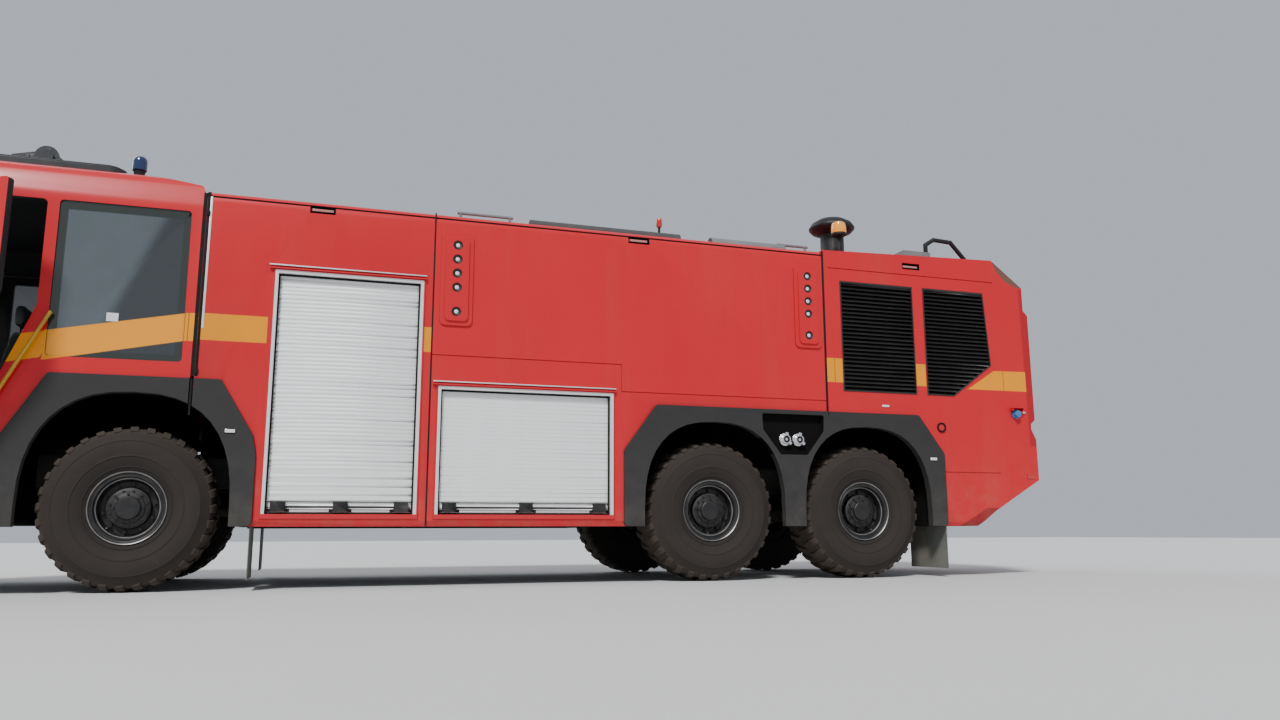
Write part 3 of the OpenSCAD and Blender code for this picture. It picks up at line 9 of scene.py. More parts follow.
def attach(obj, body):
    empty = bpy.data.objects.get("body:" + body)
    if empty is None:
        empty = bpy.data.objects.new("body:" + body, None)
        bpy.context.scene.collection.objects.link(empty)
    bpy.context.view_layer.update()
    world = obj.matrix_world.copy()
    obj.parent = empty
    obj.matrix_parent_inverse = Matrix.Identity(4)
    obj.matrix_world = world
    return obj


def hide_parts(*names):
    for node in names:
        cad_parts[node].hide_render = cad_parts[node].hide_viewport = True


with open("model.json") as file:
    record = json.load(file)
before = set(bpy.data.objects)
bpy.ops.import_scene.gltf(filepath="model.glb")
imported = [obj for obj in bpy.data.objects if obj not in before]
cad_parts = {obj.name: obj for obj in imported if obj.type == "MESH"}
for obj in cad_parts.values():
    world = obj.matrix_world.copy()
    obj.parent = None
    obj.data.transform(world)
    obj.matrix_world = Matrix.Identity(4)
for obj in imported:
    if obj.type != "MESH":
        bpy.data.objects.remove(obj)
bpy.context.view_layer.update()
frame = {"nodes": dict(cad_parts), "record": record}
record = frame["record"]
bodyOf = {node: body for body, nodes in record["behaviour"]["bodies"].items() for node in nodes}
slotOf = {part["node"]: part["material_slot"] for part in record["subparts"]}

# where things are on the vehicle, in metres
axleX = [3.17, -2.03, -3.75]
hubZ = 0.685
tyreY = 1.13
hinge = Vector((5.02, 1.5, 0.0))  # the doors' hinge line on the left side
doorStands = radians(-30)  # the left door as it is parked
# faces that fittings stand on, each with its hair of a gap
skinY = 1.5003
flareY = 1.5223
deckZ = 3.4403
cabRoofZ = 3.5606
tailX = -5.9205
bumperX = 5.8303
# roller curtains as (rear end, front end, top), all on the same sill
curtains = {"front": (0.84, 2.15, 2.776), "mid": (-0.985, 0.705, 1.805)}
sill = 0.635
slatY = 1.4657

upright = (0, 0, 1)
sideways = (0, 1, 0)
finishes = {}  # each material by its name


def turned(degrees, axis):
    return Matrix.Rotation(radians(degrees), 4, axis)


class Sock:  # one value in a material's tree, so that an expression adds its Math nodes
    def __init__(self, mat, out):
        self.mat = mat
        self.out = out

    def math(self, op, *others, clamp=False):
        values = dict(enumerate((self, *others)))
        return self.mat.node("ShaderNodeMath", {"operation": op, "use_clamp": clamp}, values)

    def __add__(self, other):
        return self.math("ADD", other)

    def __sub__(self, other):
        return self.math("SUBTRACT", other)

    def __rsub__(self, other):
        return self.mat.node("ShaderNodeMath", {"operation": "SUBTRACT"}, {0: other, 1: self})

    def __mul__(self, other):
        return self.math("MULTIPLY", other)

    __radd__ = __add__
    __rmul__ = __mul__

    def low(self, other):
        return self.math("MINIMUM", other)

    def high(self, other):
        return self.math("MAXIMUM", other)

    def size(self):
        return self.math("ABSOLUTE")

    def wave(self, rate):
        return (self * rate).math("SINE")

    def step(self, a, b):  # 0 below a, 1 above b, soft between
        smooth = {"interpolation_type": "SMOOTHSTEP"}
        return self.mat.node("ShaderNodeMapRange", smooth, {0: self, 1: a, 2: b})


class Finish:  # a material and the nodes behind its sockets
    def __init__(self, name):
        self.data = bpy.data.materials.new(name)
        self.data.use_nodes = True
        self.tree = self.data.node_tree
        self.tree.nodes.clear()

    def node(self, kind, settings=None, values=None, out=0):
        made = self.tree.nodes.new(kind)
        for key, value in (settings or {}).items():
            setattr(made, key, value)
        for key, value in (values or {}).items():
            socket = made.inputs[key]
            if isinstance(value, Sock):
                self.tree.links.new(value.out, socket)
            else:
                socket.default_value = value
        return Sock(self, made.outputs[out]) if len(made.outputs) else None

    def place(self, attribute=None):  # the point in metres, on the vehicle or on its own wheel
        if attribute:
            point = self.node("ShaderNodeAttribute", {"attribute_name": attribute}, out="Vector")
        else:
            point = self.node("ShaderNodeTexCoord", out="Object")
        split = self.tree.nodes.new("ShaderNodeSeparateXYZ")
        self.tree.links.new(point.out, split.inputs[0])
        return point, [Sock(self, split.outputs[i]) for i in range(3)]

    def noise(self, point, scale, detail=3.0, rough=0.55, stretch=None):
        if stretch:
            point = self.node("ShaderNodeMapping", {}, {"Vector": point, "Scale": stretch})
        values = {"Vector": point, "Scale": scale, "Detail": detail, "Roughness": rough}
        return self.node("ShaderNodeTexNoise", {}, values)

    def patches(self, point, scale):  # ragged noise, for dirt and wear
        return self.noise(point, scale, 6.0, 0.65)

    def grime(self, point, z, fade, scale, spread, amount):  # dirt low down, gone above fade's second height
        return (1.0 - z.step(*fade)) * self.patches(point, scale).step(*spread) * amount

    def mix(self, amount, a, b):
        colors = {key: c if isinstance(c, Sock) else (*c[:3], 1.0) for key, c in ((6, a), (7, b))}
        return self.node("ShaderNodeMix", {"data_type": "RGBA"}, {0: amount, **colors}, out=2)

    def bump(self, height, depth, strength):
        return self.node("ShaderNodeBump", {}, {"Height": height, "Distance": depth, "Strength": strength})

    def grain(self, point, scale, depth, strength):
        return self.bump(self.noise(point, scale, 2.0), depth, strength)

    def surface(self, **values):
        names = {"color": "Base Color", "rough": "Roughness", "metal": "Metallic", "coat": "Coat Weight",
                 "coatRough": "Coat Roughness", "alpha": "Alpha", "normal": "Normal", "glow": "Emission Color",
                 "glowPower": "Emission Strength", "sheen": "Sheen Weight", "specular": "Specular IOR Level"}
        inputs = {names[k]: (*v[:3], 1.0) if isinstance(v, (tuple, list)) else v for k, v in values.items()}
        shader = self.node("ShaderNodeBsdfPrincipled", {}, inputs)
        self.node("ShaderNodeOutputMaterial", {}, {"Surface": shader})
        finishes[self.data.name] = self.data
        return self.data


def within(x, z, corners, soft=0.004):  # 1 inside a convex outline with its corners anticlockwise, else 0
    inside = None
    for a, b in zip(corners, corners[1:] + corners[:1]):
        dx, dz = b[0] - a[0], b[1] - a[1]
        length = hypot(dx, dz)
        side = (x * (-dz / length) + z * (dx / length) + (a[0] * dz - a[1] * dx) / length).step(-soft, soft)
        inside = side if inside is None else inside.low(side)
    return inside


def block(rear, front, low, high):  # an upright rectangle's corners
    return [(rear, low), (front, low), (front, high), (rear, high)]


def anyOf(masks):
    total = masks[0]
    for m in masks[1:]:
        total = total.high(m)
    return total


# the dark red and the grey-brown colour for the cut top in this table are painted shade for the rear section
paint = {
    "red": (0.54, 0.009, 0.016), "redLight": (0.61, 0.016, 0.024), "redShade": (0.19, 0.004, 0.008),
    "yellow": (0.86, 0.315, 0.0), "yellowWorn": (0.8, 0.27, 0.0), "seam": (0.1, 0.04, 0.01),
    "facetShade": (0.085, 0.08, 0.055), "dust": (0.3, 0.2, 0.13), "gloss": 0.36, "coat": 0.18,
    "sides": (1.3, 1.34),  # the bands start between these distances from the vehicle's middle
}

# corners of the yellow band, as (x ahead of the first axle, z)
bands = {
    "door": [(0.716, 1.885), (1.86, 1.64), (1.86, 1.875), (0.602, 2.124)],
    "pillar": [(-0.465, 2.085), (-0.335, 2.083), (-0.335, 2.322), (-0.465, 2.333)],
    "glass": [(-0.34, 2.084), (0.7, 1.864), (0.7, 2.112), (-0.34, 2.324)],
    "front": block(-0.993, -0.44, 2.1, 2.333), "seamStrip": block(-2.4, -2.33, 2.1, 2.33),
    "rearA": block(-6.67, -6.475, 2.015, 2.27), "rearB": block(-7.69, -7.57, 2.02, 2.26),
    "rearC": [(-9.004, 2.016), (-8.22, 2.012), (-8.58, 2.232), (-9.003, 2.24)],
}
# seams in the band where one film ends and the next begins, as x ahead of the first axle
bandSeams = [-0.365, -0.335, -6.575, -8.7]
# painted shade on the rear section, in the same way: the angled skirt, the tail's corner and its cut top,
# darkened where they face away from the light
shades = {
    "skirt": [(-9.2, 0.4), (-7.88, 0.4), (-7.88, 0.722), (-8.38, 0.722), (-8.64, 0.864), (-9.2, 1.075)],
    "corner": [(-9.2, 1.4), (-9.005, 1.4), (-8.985, 3.2), (-9.2, 3.2)],
    "facetShade": [(-8.64, 3.52), (-9.045, 3.21), (-8.93, 3.222), (-8.8, 3.285), (-8.7, 3.385)],
}


def bodyPaint(name, stripes=(), shaded=False):
    f = Finish(name)
    point, (x, y, z) = f.place()
    fromAxle = x - axleX[0]
    onSide = y.size().step(*paint["sides"])
    color = f.mix(f.noise(point, 0.9), paint["red"], paint["redLight"])
    # painted shade: the skirt, the tail's corner and the cut top's slanted face are darkened as if in shadow
    if shaded:
        color = f.mix(within(fromAxle, z, shades["skirt"]) * 0.75, color, paint["redShade"])
        color = f.mix(within(fromAxle, z, shades["corner"], 0.02) * 0.45, color, paint["redShade"])
        color = f.mix(within(fromAxle, z, shades["facetShade"]) * onSide * 0.85, color, paint["facetShade"])
    if stripes:
        yellow = f.mix(f.noise(point, 1.6), paint["yellow"], paint["yellowWorn"])
        for seam in bandSeams:
            line = 1.0 - (fromAxle - seam).size().step(0.002, 0.006)
            yellow = f.mix(line * 0.7, yellow, paint["seam"])
        color = f.mix(anyOf([within(fromAxle, z, bands[s]) for s in stripes]) * onSide, color, yellow)
    streak = f.noise(point, 3.0, 4.0, 0.6, (1.0, 1.0, 0.12))
    grime = f.grime(point, z, (0.45, 1.6), 7.0, (0.35, 0.75), 0.2)
    dirt = (grime + streak.step(0.45, 0.8) * 0.06).math("ADD", 0.0, clamp=True)
    return f.surface(color=f.mix(dirt, color, paint["dust"]), rough=dirt * 0.5 + paint["gloss"],
                     coat=paint["coat"], coatRough=0.12, specular=0.3, normal=f.grain(point, 2.2, 0.004, 0.25))


paleDust = (0.3, 0.25, 0.19)


def plainFinish(name, color, other, rough, scale, metal=0.0, grain=0.0006, dust=0.25, coat=0.0, dustTop=1.6,
                shine=0.5):
    f = Finish(name)
    point, (x, y, z) = f.place()
    tone = f.noise(point, scale, 4.0)
    dirt = f.grime(point, z, (0.3, dustTop), 4.0, (0.3, 0.8), dust)
    mixed = f.mix(dirt, f.mix(tone, color, other), paleDust)
    return f.surface(color=mixed, rough=tone * 0.16 + dirt * 0.3 + (rough - 0.08), metal=metal, coat=coat,
                     specular=shine, normal=f.grain(point, scale * 30, grain, 0.6))


rubber = {
    "brown": (0.02, 0.016, 0.014), "brownLight": (0.038, 0.03, 0.025),
    "worn": (0.085, 0.064, 0.048), "wornFrom": (0.6, 0.68),
    "bead": (0.016, 0.014, 0.013), "beadTo": (0.3, 0.42),
}


def rubberFinish(name):  # browner and paler on the tread, darker at the bead
    f = Finish(name)
    point, (x, y, z) = f.place("onWheel")
    radius = (x * x + z * z).math("SQRT")
    patch = f.patches(point, 6.0)
    worn = radius.step(*rubber["wornFrom"])
    color = f.mix(worn * 0.5, f.mix(patch, rubber["brown"], rubber["brownLight"]), rubber["worn"])
    color = f.mix((1.0 - radius.step(*rubber["beadTo"])) * 0.6, color, rubber["bead"])
    rings = radius.wave(420.0) * (1.0 - worn) * 0.3
    return f.surface(color=color, rough=patch * 0.15 + 0.76, specular=0.3,
                     normal=f.bump(f.noise(point, 90.0) + rings, 0.0012, 0.5))


def rimFinish(name, color, other, rough, metal):
    f = Finish(name)
    point, (x, y, z) = f.place("onWheel")
    patch = f.patches(point, 9.0)
    return f.surface(color=f.mix(patch.step(0.35, 0.75), color, other), rough=patch * 0.2 + rough, metal=metal,
                     normal=f.grain(point, 160.0, 0.0005, 0.5))


slats = {"pale": (0.9, 0.91, 0.9), "streak": (0.83, 0.84, 0.83), "dirt": (0.42, 0.36, 0.29), "rough": 0.36}


def shutterFinish(name):
    f = Finish(name)
    point, (x, y, z) = f.place()
    streak = f.noise(point, 7.0, 5.0, 0.6, (1.0, 1.0, 0.1))
    grime = f.grime(point, z, (0.55, 1.1), 8.0, (0.4, 0.8), 0.25)
    color = f.mix(grime, f.mix(streak, slats["pale"], slats["streak"]), slats["dirt"])
    return f.surface(color=color, rough=f.noise(point, 2.5, 4.0) * 0.15 + slats["rough"], metal=0.15,
                     normal=f.grain(point, 300.0, 0.0003, 0.4))


frameMetal = {
    "inset": 0.013, "foot": 0.001, "dull": (0.62, 0.62, 0.62), "pale": (0.76, 0.76, 0.76), "rough": 0.32,
}


def frameFinish(name):  # red outside, bright metal round the curtain
    f = Finish(name)
    point, (x, y, z) = f.place()
    pale = []
    for rear, front, top in curtains.values():
        inset = frameMetal["inset"]
        opening = block(rear + inset, front - inset, sill + frameMetal["foot"], top - inset)
        pale.append(within(x, z, opening, 0.001))
    tone = f.noise(point, 9.0)
    color = f.mix(anyOf(pale), paint["red"], f.mix(tone, frameMetal["dull"], frameMetal["pale"]))
    return f.surface(color=color, rough=tone * 0.2 + frameMetal["rough"], coat=0.2, coatRough=0.2,
                     normal=f.grain(point, 260.0, 0.0003, 0.5))


quarter = {
    "clear": [(-0.275, 1.955), (0.615, 1.955), (0.615, 3.15), (-0.27, 3.15)],  # inside the printed border
    "border": (0.022, 0.027, 0.022), "shade": (0.036, 0.042, 0.046),
    # a painted reflection: the pane keeps its lighter tint above this sloping line and is painted darker below
    # it
    "slope": (0.92, 0.38), "slopeZ": 2.74, "slopeFrom": (-0.02, 0.1),  # below this line the pane is darker
}


def glassFinish(name, tint, alpha, stripes=(), borderAndReflection=False):
    f = Finish(name)
    point, (x, y, z) = f.place()
    fromAxle = x - axleX[0]
    smear = f.noise(point, 3.0, 5.0, 0.65)
    color = f.mix(smear * 0.35, tint, (0.16, 0.18, 0.2))
    clear, rough = smear * 0.06 + alpha, smear * 0.05 + 0.03
    if borderAndReflection:
        along, rise = quarter["slope"]
        # painted reflection: lighter above the sloping line, darker below it
        paintedReflection = (fromAxle * along + (z - quarter["slopeZ"]) * rise).step(*quarter["slopeFrom"])
        border = 1.0 - within(fromAxle, z, quarter["clear"], 0.006)
        color = f.mix(border, f.mix(paintedReflection, quarter["shade"], color), quarter["border"])
        clear = clear.high(border)
    if stripes:
        mask = anyOf([within(fromAxle, z, bands[s]) for s in stripes]) * y.size().step(*paint["sides"])
        color, clear, rough = f.mix(mask, color, paint["yellow"]), clear.high(mask), rough.high(mask * 0.3)
    return f.surface(color=color, rough=rough, alpha=clear, coat=0.8, coatRough=0.03)


def lensFinish(name, color, glow=0.0):
    f = Finish(name)
    point, (x, y, z) = f.place()
    ribs = x.wave(260.0) * 0.5 + z.wave(260.0) * 0.5
    tone = f.noise(point, 30.0)
    return f.surface(color=f.mix(tone, color, [c * 0.7 for c in color]), rough=tone * 0.1 + 0.08, coat=0.8,
                     coatRough=0.04, normal=f.bump(ribs, 0.0006, 0.5), glow=color, glowPower=glow)


def fabricFinish(name):
    f = Finish(name)
    point, (x, y, z) = f.place()
    weave = x.wave(1400.0) * y.wave(1400.0) + z.wave(1400.0) * 0.6
    tone = f.noise(point, 14.0, 5.0)
    return f.surface(color=f.mix(tone, (0.02, 0.021, 0.024), (0.045, 0.046, 0.05)), rough=tone * 0.1 + 0.82,
                     sheen=0.25, normal=f.bump(weave, 0.0004, 0.5))


bodyPaint("cabPaint", ["pillar", "glass", "door"])
bodyPaint("frontPaint", ["front", "seamStrip"])
bodyPaint("midPaint")
bodyPaint("rearPaint", ["rearA", "rearB", "rearC"], shaded=True)
glassFinish("quarterGlass", (0.08, 0.102, 0.112), 0.86, ["pillar", "glass", "door"], borderAndReflection=True)
glassFinish("doorGlass", (0.022, 0.03, 0.036), 0.62)
glassFinish("screenGlass", (0.03, 0.04, 0.046), 0.5)
# two tones, roughness, the size of the tones' pattern, and what else differs from a plain finish
plainFinish("flareGrey", (0.023, 0.022, 0.022), (0.034, 0.033, 0.033), 0.68, 9.0, dust=0.14, shine=0.3)
plainFinish("mudRubber", (0.1, 0.11, 0.1), (0.17, 0.18, 0.16), 0.8, 6.0, dust=0.6)
# near black with little shine: black linings, and painted shade in recesses, slots, undersides and behind the
# louvres
plainFinish("wellBlack", (0.004, 0.004, 0.004), (0.008, 0.007, 0.007), 0.9, 6.0, dust=0.04, shine=0.08)
plainFinish("blackRubber", (0.006, 0.006, 0.006), (0.012, 0.012, 0.012), 0.72, 20.0, dust=0.08, shine=0.2)
plainFinish("blackPlastic", (0.01, 0.01, 0.011), (0.018, 0.018, 0.019), 0.5, 14.0, dust=0.15, shine=0.35)
plainFinish("cabLining", (0.03, 0.031, 0.034), (0.044, 0.045, 0.048), 0.75, 8.0, dust=0.0)
plainFinish("chassisBlack", (0.018, 0.018, 0.019), (0.032, 0.03, 0.028), 0.55, 6.0, dust=0.5)
plainFinish("engineGrey", (0.02, 0.021, 0.022), (0.035, 0.036, 0.037), 0.5, 5.0, metal=0.4)
plainFinish("louvreBlack", (0.012, 0.012, 0.013), (0.026, 0.025, 0.024), 0.36, 10.0, dustTop=3.0, dust=0.12)
plainFinish("frameMetal", (0.66, 0.66, 0.66), (0.78, 0.78, 0.78), 0.4, 9.0, metal=0.3)
plainFinish("roofMetal", (0.16, 0.165, 0.17), (0.26, 0.265, 0.27), 0.5, 5.0, metal=0.3, dust=0.0)
plainFinish("gripGrey", (0.1, 0.1, 0.1), (0.2, 0.195, 0.19), 0.85, 60.0, grain=0.003, dust=0.0)
plainFinish("hoseGrey", (0.035, 0.035, 0.038), (0.085, 0.08, 0.078), 0.75, 8.0, dust=0.0)
plainFinish("monitorGrey", (0.028, 0.029, 0.031), (0.048, 0.049, 0.052), 0.42, 8.0, metal=0.3)
plainFinish("yellowPaint", (0.62, 0.36, 0.02), (0.5, 0.27, 0.016), 0.35, 8.0, coat=0.4, dust=0.15)
plainFinish("coupling", (0.6, 0.61, 0.62), (0.8, 0.81, 0.82), 0.28, 20.0, metal=0.8, dust=0.1)
plainFinish("chrome", (0.78, 0.79, 0.8), (0.86, 0.87, 0.88), 0.14, 6.0, metal=1.0, dust=0.05)
plainFinish("plugBlue", (0.03, 0.14, 0.36), (0.05, 0.2, 0.46), 0.4, 20.0)
plainFinish("plainWhite", (0.62, 0.64, 0.66), (0.7, 0.72, 0.74), 0.5, 20.0)
shutterFinish("shutter")
frameFinish("curtainFrame")
rubberFinish("tyre")
rimFinish("rim", (0.014, 0.014, 0.015), (0.034, 0.031, 0.028), 0.4, 0.3)
rimFinish("rimEdge", (0.2, 0.195, 0.19), (0.34, 0.32, 0.3), 0.3, 0.8)
fabricFinish("fabric")
lensFinish("lensClear", (0.8, 0.8, 0.78), 0.15)
lensFinish("lensAmber", (0.95, 0.34, 0.02), 0.25)
lensFinish("lensRed", (0.6, 0.015, 0.012))
lensFinish("lensBlue", (0.006, 0.026, 0.11))
lensFinish("lensRose", (0.6, 0.22, 0.19))
print("materials", len(finishes))


def setMaterial(faces, mat):
    for face in faces:
        face.material_index = mat


def soften(bm, edges, width, steps):  # rounds edges off and gives the new faces
    return ops.bevel(bm, geom=edges, offset=width, offset_type="OFFSET", affect="EDGES", segments=steps,
                     profile=0.5, material=-1)["faces"]


def addBox(bm, low, high, soft=0.0, mat=0, steps=2):
    low, high = Vector(low), Vector(high)
    place = Matrix.Translation((low + high) / 2) @ Matrix.Diagonal((*(high - low), 1.0))
    verts = ops.create_cube(bm, size=1.0, matrix=place)["verts"]
    setMaterial({face for v in verts for face in v.link_faces}, mat)
    if soft:
        setMaterial(soften(bm, list({e for v in verts for e in v.link_edges}), soft, steps), mat)


def addTube(bm, a, b, radius, steps=16, mat=0):  # a round bar from a to b
    a, b = Vector(a), Vector(b)
    along = b - a
    place = Matrix.Translation((a + b) / 2) @ along.to_track_quat("Z", "Y").to_matrix().to_4x4()
    verts = ops.create_cone(bm, cap_ends=True, segments=steps, radius1=radius, radius2=radius,
                            depth=along.length, matrix=place)["verts"]
    setMaterial({face for v in verts for face in v.link_faces}, mat)


def addLathe(bm, profile, steps=48, mat=0, centre=(0, 0, 0), axis=upright):  # turns (radius, height) points
    turn = Vector(axis).to_track_quat("Z", "Y").to_matrix().to_4x4()
    place = Matrix.Translation(Vector(centre)) @ turn
    before = set(bm.faces)
    verts = [bm.verts.new(place @ Vector((r, 0, h))) for r, h in profile]
    edges = [bm.edges.new((a, b)) for a, b in zip(verts, verts[1:])]
    ops.spin(bm, geom=verts + edges, cent=Vector(centre), axis=Vector(axis), angle=tau, steps=steps,
             use_merge=True)
    setMaterial(set(bm.faces) - before, mat)


def addSweep(bm, points, radius, steps=10):  # a round tube through points, with its ends closed
    points = [Vector(p) for p in points]
    last = len(points) - 1
    rings = []
    up = Vector((0, 0, 1))
    for i, p in enumerate(points):
        ahead = (points[min(i + 1, last)] - points[max(i - 1, 0)]).normalized()
        if abs(ahead.dot(up)) > 0.99:
            up = Vector((0, 1, 0))
        side = ahead.cross(up).normalized()
        up = side.cross(ahead).normalized()
        place = Matrix.Translation(p) @ Matrix((side, up, ahead)).transposed().to_4x4()
        verts = ops.create_circle(bm, cap_ends=i in (0, last), segments=steps, radius=radius,
                                  matrix=place)["verts"]
        around = {e for v in verts for e in v.link_edges}
        rings.append([e for e in around if e.verts[0] in verts and e.verts[1] in verts])
    for a, b in zip(rings, rings[1:]):
        ops.bridge_loops(bm, edges=a + b)


def stamp(bm, mesh, places):  # copies of a small mesh at each matrix
    for place in places:
        copy = mesh.copy()
        copy.transform(place)
        if place.determinant() < 0:
            copy.flip_normals()
        bm.from_mesh(copy)
        bpy.data.meshes.remove(copy)


def mirrored(bm):  # the same shapes on the right side too
    mesh = bpy.data.meshes.new("half")
    bm.to_mesh(mesh)
    stamp(bm, mesh, [Matrix.Diagonal((1, -1, 1, 1))])


def smallMesh(bm, name):
    mesh = bpy.data.meshes.new(name)
    bm.to_mesh(mesh)
    bm.free()
    return mesh


def outward(bm):
    ops.remove_doubles(bm, verts=bm.verts, dist=1e-5)
    ops.recalc_face_normals(bm, faces=bm.faces)


def addObject(name, data):
    made = bpy.data.objects.new(name, data)
    bpy.context.scene.collection.objects.link(made)
    return made


def finishPiece(bm, name, mats, slotName, body="root", stands=(), sharp=32.0, edge=0.0, recalc=True):
    if recalc:
        outward(bm)
    mesh = smallMesh(bm, name)
    for m in mats:
        mesh.materials.append(finishes[m])
    mesh.shade_smooth()
    mesh.set_sharp_from_angle(angle=radians(sharp))
    piece = addObject(name, mesh)
    if edge:
        soft = piece.modifiers.new("softEdge", "BEVEL")
        soft.width, soft.segments = edge, 2
        soft.limit_method, soft.angle_limit = "ANGLE", radians(30)
        soft.harden_normals = True
    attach(piece, body)
    if stands:
        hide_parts(*stands)
    return piece


def merged(node, joined):  # the node's own shape, if joined with flat neighbouring triangles made one face
    bm = bmesh.new()
    bm.from_mesh(frame["nodes"][node].data)
    ops.remove_doubles(bm, verts=bm.verts, dist=2e-5)
    if joined:
        ops.dissolve_limit(bm, angle_limit=radians(0.6), verts=bm.verts, edges=bm.edges)
    return bm


def softCopy(node, name, mats, edge=0.0, pick=None):  # pick gives a face's material from its middle and normal
    bm = merged(node, edge > 0)
    if pick:
        for face in bm.faces:
            face.material_index = pick(face.calc_center_median(), face.normal)
    return finishPiece(bm, name, mats, slotOf[node], bodyOf[node], [node], edge=edge, recalc=False)


# boxes in which a node's material changes, as ranges of x, of y to either side, and of z
far = 9.0
free = (-far, far)
zones = {
    "frontWell": ((axleX[0] - 0.915, axleX[0] + 0.915), (-far, 1.4405), (-far, 1.715)),
    "rearWell": ((axleX[2] - 0.803, axleX[1] + 0.803), (-far, 1.4405), (-far, 1.605)),
    "channel": (free, (-far, 0.563), (-far, 1.18)),  # over the chassis
    "markerSlot": (free, (1.469, 1.499), (3.312, 3.384)),
    "entrySteps": ((4.34, 4.98), (1.235, 1.47), free),
    "cabInside": ((-far, 5.5), (-far, 1.43), (1.2999, far)),
    "engineBay": (free, (-far, 1.4551), (1.6, far)),
    "doorHandle": ((-far, 4.9), (1.5006, far), free),
    "doorFrontEdge": ((4.98, far), free, free),
    "niche": ((-3.243, -2.537), (-far, 1.52), (1.24, 1.66)),
    "nicheBack": (free, (-far, 1.47), free),
    "mudFlap": (free, free, (-far, 0.5299)),
    "latch": (free, (1.4661, far), free),
    "curtainFoot": (free, (1.4255, far), (-far, 0.6355)),
    "bumperMouth": ((5.82, 5.905), (-far, 1.1), (-far, 0.93)),
    "hoseCover": ((-2.5, 0), (1.22, 1.38), (-far, 3.5155)),
    "walkway": (free, (0.47, 0.89), (-far, 3.449)),
    "ladder": ((-far, -5.0), free, free),
    "quarterPane": ((-far, 3.9), free, free),
}
markers = {"x": [1.77, -1.24, -4.4], "z": 3.348, "reach": 0.111}  # slim lamps under the roof's edge
# faces that look down are painted near black, as shade under things
looksDown = -0.9  # a face whose normal's z is below this is an underside
cabFaces = {"middle": Vector((4.2, 0, 2.45)), "lining": -0.3, "rubber": 0.32}
bayMiddle = Vector((-4.6, 0, 2.4))


def inZone(c, name):
    return all(low < value < high for value, (low, high) in zip((c.x, abs(c.y), c.z), zones[name]))


def inWell(c):  # on a wheel housing's lining, or in the channel over the chassis
    return inZone(c, "frontWell") or inZone(c, "rearWell") or inZone(c, "channel")


def inSlot(c):
    return inZone(c, "markerSlot") and min(abs(c.x - x) for x in markers["x"]) < markers["reach"]


def zonePick(*names):  # 1 in the first zone, 2 in the second, 0 elsewhere
    return lambda c, n: next((i for i, name in enumerate(names, 1) if inZone(c, name)), 0)


def pickCab(c, n):  # 0 paint, 1 lining, 2 the black rubber round the openings, 3 wheel housing
    facing = n.dot((c - cabFaces["middle"]).normalized())
    if inWell(c):
        return 3
    return 1 if facing < cabFaces["lining"] else 2 if facing < cabFaces["rubber"] else 0


# 3 is near black: the wheel housing's lining, and painted shade on undersides
def pickFloor(c, n):  # 0 paint, 1 lining, 2 entry steps, 3 wheel housing and underside
    if inWell(c) or n.z < looksDown:
        return 3
    return 2 if inZone(c, "entrySteps") else int(inZone(c, "cabInside"))


# 1 near black: the wheel housing's lining, and painted shade in the channel, the marker slots and on
#               undersides
def pickBody(c, n):
    return int(inWell(c) or inSlot(c) or n.z < looksDown)


# the engine bay's inside faces are painted near black as shade too
def pickRear(c, n):
    inBay = inZone(c, "engineBay") and n.dot(c - bayMiddle) < 0
    return int(inBay or pickBody(c, n))


def doorPick(side):  # 0 outer skin, 1 trim and seals, 2 handle
    unturn = Matrix.Rotation(-doorStands if side > 0 else 0, 3, "Z")

    def pick(c, n):
        c, n = Vector((c.x, c.y * side, c.z)), Vector((n.x, n.y * side, n.z))
        shut = hinge + unturn @ (c - hinge)
        if inZone(shut, "doorHandle"):
            return 2
        return 0 if (unturn @ n).y > 0.5 or inZone(shut, "doorFrontEdge") else 1

    return pick


# the recess that the couplings stand in is painted near black as shade
def pickRearFlares(c, n):  # 0 plastic, 1 mud flap, 2 the black recess that the couplings stand in
    inNiche = inZone(c, "niche") and (inZone(c, "nicheBack") or abs(n.y) < 0.5)
    return 1 if inZone(c, "mudFlap") else 2 if inNiche else 0


def pickBumper(c, n):
    return int(inZone(c, "bumperMouth") and n.x > -0.5)


def pickFrames(c, n):
    return 2 if inZone(c, "curtainFoot") and abs(n.z) < 0.5 else 0


